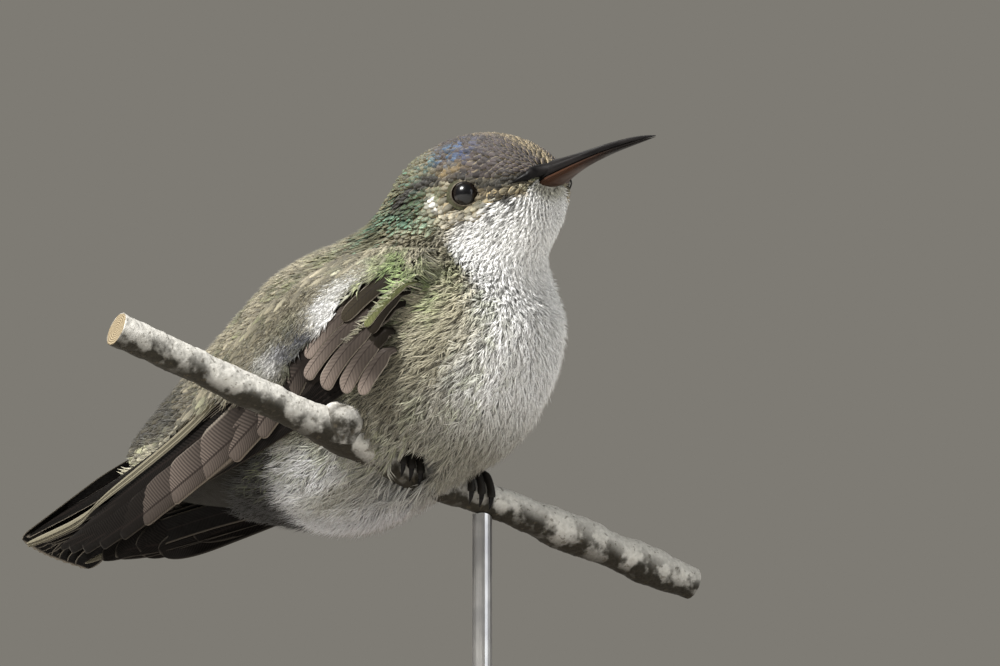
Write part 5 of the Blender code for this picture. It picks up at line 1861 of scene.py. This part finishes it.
class HUMMINGBIRD_OT_wings(HummingbirdOperator, bpy.types.Operator):
    """Make the folded wings: primaries, secondaries and coverts, each a separate feather"""

    bl_idname = "hummingbird.wings"
    bl_label = "Wings"

    def execute(self, context):
        flight = context.scene.hummingbird_flight
        thickness = flight.thickness / MM
        lined, plain = flight_material("primary_vanes", 0.75, 1.6), flight_material("covert_vanes", 0.3, 1.5)
        groups = (("primaries", self.primaries, lined, "flight_feather"),
                  ("secondaries", self.secondaries, plain, "flight_feather"),
                  ("coverts", self.coverts, plain, "covert_feather"))
        for side, left in (("right", False), ("left", True)):
            for group, lay, surface, slot in groups:
                piece = Piece()
                lay(piece, left, thickness, flight)
                piece.build(f"{group}_{side}", surface, slot, (f"wing_{side}_{group}",))
        return {"FINISHED"}

    def primaries(self, piece, left, thickness, flight):
        """Ten primaries and the innermost secondary, whose tips step down the wing's lower edge.

        Two broad dark feathers fill in beneath them, and loose strands of the rump lie over them.
        """
        dark = np.array(flight.dark)
        # the two broad feathers beneath take the near-black colour: partly their own dark webs, partly
        # painted shade over the wing's upper part
        root = np.array([[-6.0, 13.0], [-5.0, 12.0]])
        tip = np.array([[-47.0, -3.4], [-52.0, -5.6]])
        wide = np.array([2.6, 2.2])
        lay_on_wing(piece, left, thickness, (root, 0.5 * (root + tip) + [[0.0, 0.6], [0.0, -0.6]], tip),
                    layer=[0.12, 0.04], webs=(wide, wide), cut=(4.0 * wide, 5.0 * wide), tint=dark,
                    pale=0.1, dull=1.0, dull_span=(0.0, 1.0))

        order = np.linspace(0.0, 1.0, 11)
        rank = order[:, None]
        end = np.array([[-10.4, 8.8], [-16.2, 4.4], [-21.2, 1.9], [-26.6, 0.2], [-32.4, -2.6], [-38.0, -5.0],
                        [-42.6, -6.6], [-46.8, -7.7], [-50.5, -8.1], [-53.4, -7.9], [-55.4, -7.4]])
        start = np.array([0.0, 17.5]) + (np.array([4.5, 12.5]) - [0.0, 17.5]) * rank
        if left:
            end = end + np.array([-4.6, 0.8]) * rank + np.array([0.0, 3.0]) * (1.0 - rank ** 3)
        square = unit(np.stack([(end - start)[:, 1], -(end - start)[:, 0]], axis=-1))
        middle = 0.5 * (start + end) + square * (0.9 - (2.7 if left else 5.9) * rank ** 1.5)
        outer = ramp(order, 0.40, 0.62)
        low = 1.7 - 0.9 * ramp(order, 0.3, 0.9)
        up = (4.6 - 1.7 * ramp(order, 0.35, 1.0)) * (1.35 if left else 1.0)
        # each primary's colour falls from its tip to a small share of it over the inner half: painted shade
        # on the webs under the feathers that lap over them
        lay_on_wing(piece, left, thickness, (start, middle, end), layer=0.85 - 0.8 * order, webs=(low, up),
                    cut=((5.0 if left else 0.8) * low, 0.75 * up + 9.0 * outer * order),
                    tint=blend(np.broadcast_to(np.array(flight.light) * 0.55, (11, 3)), dark, outer),
                    pale=0.75 - 0.6 * outer, dull=0.08 + 0.6 * outer, dull_span=(0.5, 0.98))

        # the strands' pale tan is partly a painted highlight along the wing's upper edge, and every other
        # strand is about half as bright, painted shade between them
        strand = np.arange(4)[:, None]
        offset = strand * np.array([0.14, 0.40])
        curve = [-20.0, 12.0] + offset, [-36.9, -0.5] + offset, [-64.0, -6.9] + 0.3 * offset
        lay_on_wing(piece, left, thickness, curve, layer=0.85 + 0.14 * strand[:, 0], webs=(0.32, 0.32),
                    cut=(4.0, 4.0), tint=np.array(paint(150, 144, 124)) * [[0.5], [1.0], [0.45], [0.9]],
                    pale=0.45, dull=0.9, dull_span=(0.0, 0.4), barbed=0.0)

    def secondaries(self, piece, left, thickness, flight):
        """Five secondaries: round and pale-edged, fanned over the foot of the primaries."""
        order = np.linspace(0.0, 1.0, 5)
        rank = order[:, None]
        end = np.array([[-6.6, 13.0], [-6.9, 10.5], [-4.4, 9.2], [-1.5, 8.6], [1.2, 8.2]])
        start = np.array([3.6, 21.6]) + (np.array([5.6, 14.0]) - [3.6, 21.6]) * rank
        width = 1.1 + 0.12 * order
        lay_on_wing(piece, left, thickness, (start, 0.5 * (start + end) + [-0.5, 0.4], end),
                    layer=1.35 - 0.4 * order, webs=(width, width), cut=(width, 1.4 * width),
                    tint=np.array(flight.light) * (0.95 - 0.15 * rank), pale=0.9, dull=0.25,
                    dull_span=(0.35, 0.95))

    def coverts(self, piece, left, thickness, flight):
        """The coverts over the feet of the secondaries: dark ones beneath, an olive and a brown one above."""
        start = np.array([[7.2, 24.8], [7.0, 22.6], [6.8, 19.6], [5.6, 16.0], [8.4, 24.4], [8.4, 22.2],
                          [7.6, 20.8]])
        end = np.array([[-1.6, 18.6], [-1.6, 16.6], [0.4, 14.9], [2.8, 13.4], [-0.8, 17.2], [2.7, 16.2],
                        [3.4, 15.4]])
        width = np.array([1.6, 1.9, 1.6, 1.1, 1.15, 0.7, 0.75])
        dark, brown, olive = paint(34, 30, 24), paint(52, 47, 38), paint(104, 108, 72)
        lay_on_wing(piece, left, thickness, (start, 0.5 * (start + end) + [-0.5, 0.5], end),
                    layer=[1.2, 1.15, 1.1, 1.05, 1.7, 1.8, 1.6], webs=(width, width),
                    cut=(1.6 * width, 1.6 * width),
                    tint=np.array([dark, dark, dark, dark, brown, olive, dark]),
                    pale=np.array([0.3, 0.3, 0.3, 0.2, 0.9, 0.8, 0.5]), dull=0.5, dull_span=(0.3, 0.95))


TAIL_ROOT = (-50.6, 0.0, 2.6)
TAIL_TIP = (-67.0, 0.0, -7.3)
TAIL_TWIST = math.radians(12.0)
TAIL_ROOT_HALF = 4.9
TAIL_TIP_HALF = 6.2


class HUMMINGBIRD_OT_tail(HummingbirdOperator, bpy.types.Operator):
    """Make the tail: ten feathers in a shallow fan, each with a round pale-rimmed tip"""

    bl_idname = "hummingbird.tail"
    bl_label = "Tail"

    def execute(self, context):
        flight = context.scene.hummingbird_flight
        surface = flight_material("tail_vanes", 0.25, 1.5)
        for part, side, across in (("right", -1.0, [-0.92, -0.72, -0.5]),
                                   ("middle", 0.0, [-0.28, -0.09, 0.09, 0.28]),
                                   ("left", 1.0, [0.5, 0.72, 0.92])):
            piece = Piece()
            self.lay(piece, *self.fan(np.array(across)), 1.75, 0.5, flight)
            if side:
                self.edge_feathers(piece, side, flight)
            piece.build(f"tail_feathers_{part}", surface, "flight_feather", (f"tail_{part}",))
        return {"FINISHED"}

    def lay(self, piece, path, up, width, pale, flight, fade=1.0):
        """Lay feathers along shafts, arched a little over their up vectors, with rounded tips."""
        count, size = path.shape[:2]
        share = np.linspace(0.0, 1.0, size)[1:-1]
        length = path_lengths(path)
        half = web(share, width, length, 2.2 * width)
        height = arch_heights(half, half, 0.06, flight.thickness / MM, share, 0.0)
        rings = sections(path[:, 1:-1], sideways(path, up)[:, 1:-1], up[:, 1:-1],
                         half[..., None] * VANE_SHARE, height)
        tint = np.array(flight.tail) * np.linspace(0.85, 1.1, count)[:, None]
        add_tubes(piece, path, rings, VANE_SHARE, tint, fade, pale=pale, reach=(length, width),
                  fade_span=(0.1, 0.75))

    def fan(self, across):
        """Shafts on the twisted fan: along its run, out to the side by the half-width, arched down."""
        share = -0.75 + 1.75 * (1.0 - (1.0 - np.linspace(0.0, 1.0, 36)) ** 1.2)
        root = np.array(TAIL_ROOT)
        run = np.array(TAIL_TIP) - root
        upward = np.array([run[2], 0.0, -run[0]]) / np.linalg.norm(run)
        level = np.array([0.0, 1.0, 0.0])
        side = level * math.cos(TAIL_TWIST) - upward * math.sin(TAIL_TWIST)
        square = upward * math.cos(TAIL_TWIST) + level * math.sin(TAIL_TWIST)
        half = TAIL_ROOT_HALF + (TAIL_TIP_HALF - TAIL_ROOT_HALF) * share - 1.0
        half = half * (0.35 + 0.65 * ramp(share, -0.75, 0.2))
        across = across[:, None]
        path = root + np.where(share > 0.0, share * (1.0 - 0.07 * across ** 2), share)[..., None] * run
        path = path + (half * across)[..., None] * side + square * (0.5 - 0.9 * across ** 2)[..., None]
        return lean(path), unit(lean(np.broadcast_to(square, path.shape)) - lean(np.zeros(3)))

    def edge_feathers(self, piece, side, flight):
        """The outer tail feathers where they run up beside the rump, stacked edge over edge.

        They stand off the flank, and dips in how far are filled by averaging along each feather.
        """
        share = np.linspace(0.0, 1.0, 36)
        order = np.linspace(0.0, 1.0, 4)[:, None]
        start = np.concatenate([np.array([-20.0, 9.6]) + order * [-1.0, 0.9],
                                [[-17.0, 8.4], [-16.0, 6.8], [-15.0, 5.4], [-14.0, 4.2]]])
        end = np.concatenate([np.array([-66.2, -5.2]) + order * [1.6, 0.8],
                              [[-64.0, -5.2], [-63.4, -5.5], [-62.6, -5.7], [-61.8, -5.8]]])
        x, z = np.moveaxis(arc(start, 0.5 * (start + end) + [0.0, 0.4], end, share), -1, 0)
        beside = np.maximum(read_map(FLANK_MAP, x, z) + 0.5, 5.2)
        for _ in range(30):
            padded = np.pad(beside, ((0, 0), (1, 1)), mode="edge")
            beside = np.maximum(beside, 0.5 * (padded[:, :-2] + padded[:, 2:]))
        beside = beside + 0.22 * np.concatenate([1.0 - order, 0.5 * order - 1.2])
        path = lean(np.stack([x, side * beside, z], axis=-1))
        slant = unit(np.array([-0.1, side * 0.85, 0.5]))
        normal = unit(lean(np.broadcast_to(slant, path.shape)) - lean(np.zeros(3)))
        # the upper four have roots several times brighter than the near-black tail colour, brighter and
        # duller in turn: pale fringes raised into a painted highlight along the lit edge; the wide ones below
        # stay near black, partly painted shade
        self.lay(piece, path[:4], normal[:4], 0.95, 0.9, flight, [7.0, 2.5, 6.0, 3.0])
        self.lay(piece, path[4:], normal[4:], 1.7, 0.25, flight)


# Panel and registration --------------------------------------

OPERATORS = (HUMMINGBIRD_OT_stage, HUMMINGBIRD_OT_stand, HUMMINGBIRD_OT_perch, HUMMINGBIRD_OT_skin,
             HUMMINGBIRD_OT_eyes, HUMMINGBIRD_OT_bill, HUMMINGBIRD_OT_feet, HUMMINGBIRD_OT_down,
             HUMMINGBIRD_OT_scales, HUMMINGBIRD_OT_back, HUMMINGBIRD_OT_wings, HUMMINGBIRD_OT_tail)
SETTINGS = {"hummingbird_stage": HUMMINGBIRD_PG_stage, "hummingbird_coat": HUMMINGBIRD_PG_coat,
            "hummingbird_flight": HUMMINGBIRD_PG_flight}


class HUMMINGBIRD_PT_panel(bpy.types.Panel):
    """The bird's operators and settings."""

    bl_idname = "HUMMINGBIRD_PT_panel"
    bl_label = "Hummingbird"
    bl_space_type = "VIEW_3D"
    bl_region_type = "UI"
    bl_category = "Hummingbird"

    def draw(self, context):
        for operator in OPERATORS:
            self.layout.operator(operator.bl_idname)
        for name, group in SETTINGS.items():
            box = self.layout.box()
            for setting in group.__annotations__:
                box.prop(getattr(context.scene, name), setting)


def register():
    for kind in (*SETTINGS.values(), *OPERATORS, HUMMINGBIRD_PT_panel):
        bpy.utils.register_class(kind)
    for name, group in SETTINGS.items():
        setattr(bpy.types.Scene, name, bpy.props.PointerProperty(type=group))


def unregister():
    for name in SETTINGS:
        delattr(bpy.types.Scene, name)
    for kind in reversed((*SETTINGS.values(), *OPERATORS, HUMMINGBIRD_PT_panel)):
        bpy.utils.unregister_class(kind)


def main():
    """Make the stage and every piece in turn."""
    register()
    for operator in OPERATORS:
        group, name = operator.bl_idname.split(".")
        getattr(getattr(bpy.ops, group), name)()


if __name__ == "__main__":
    main()
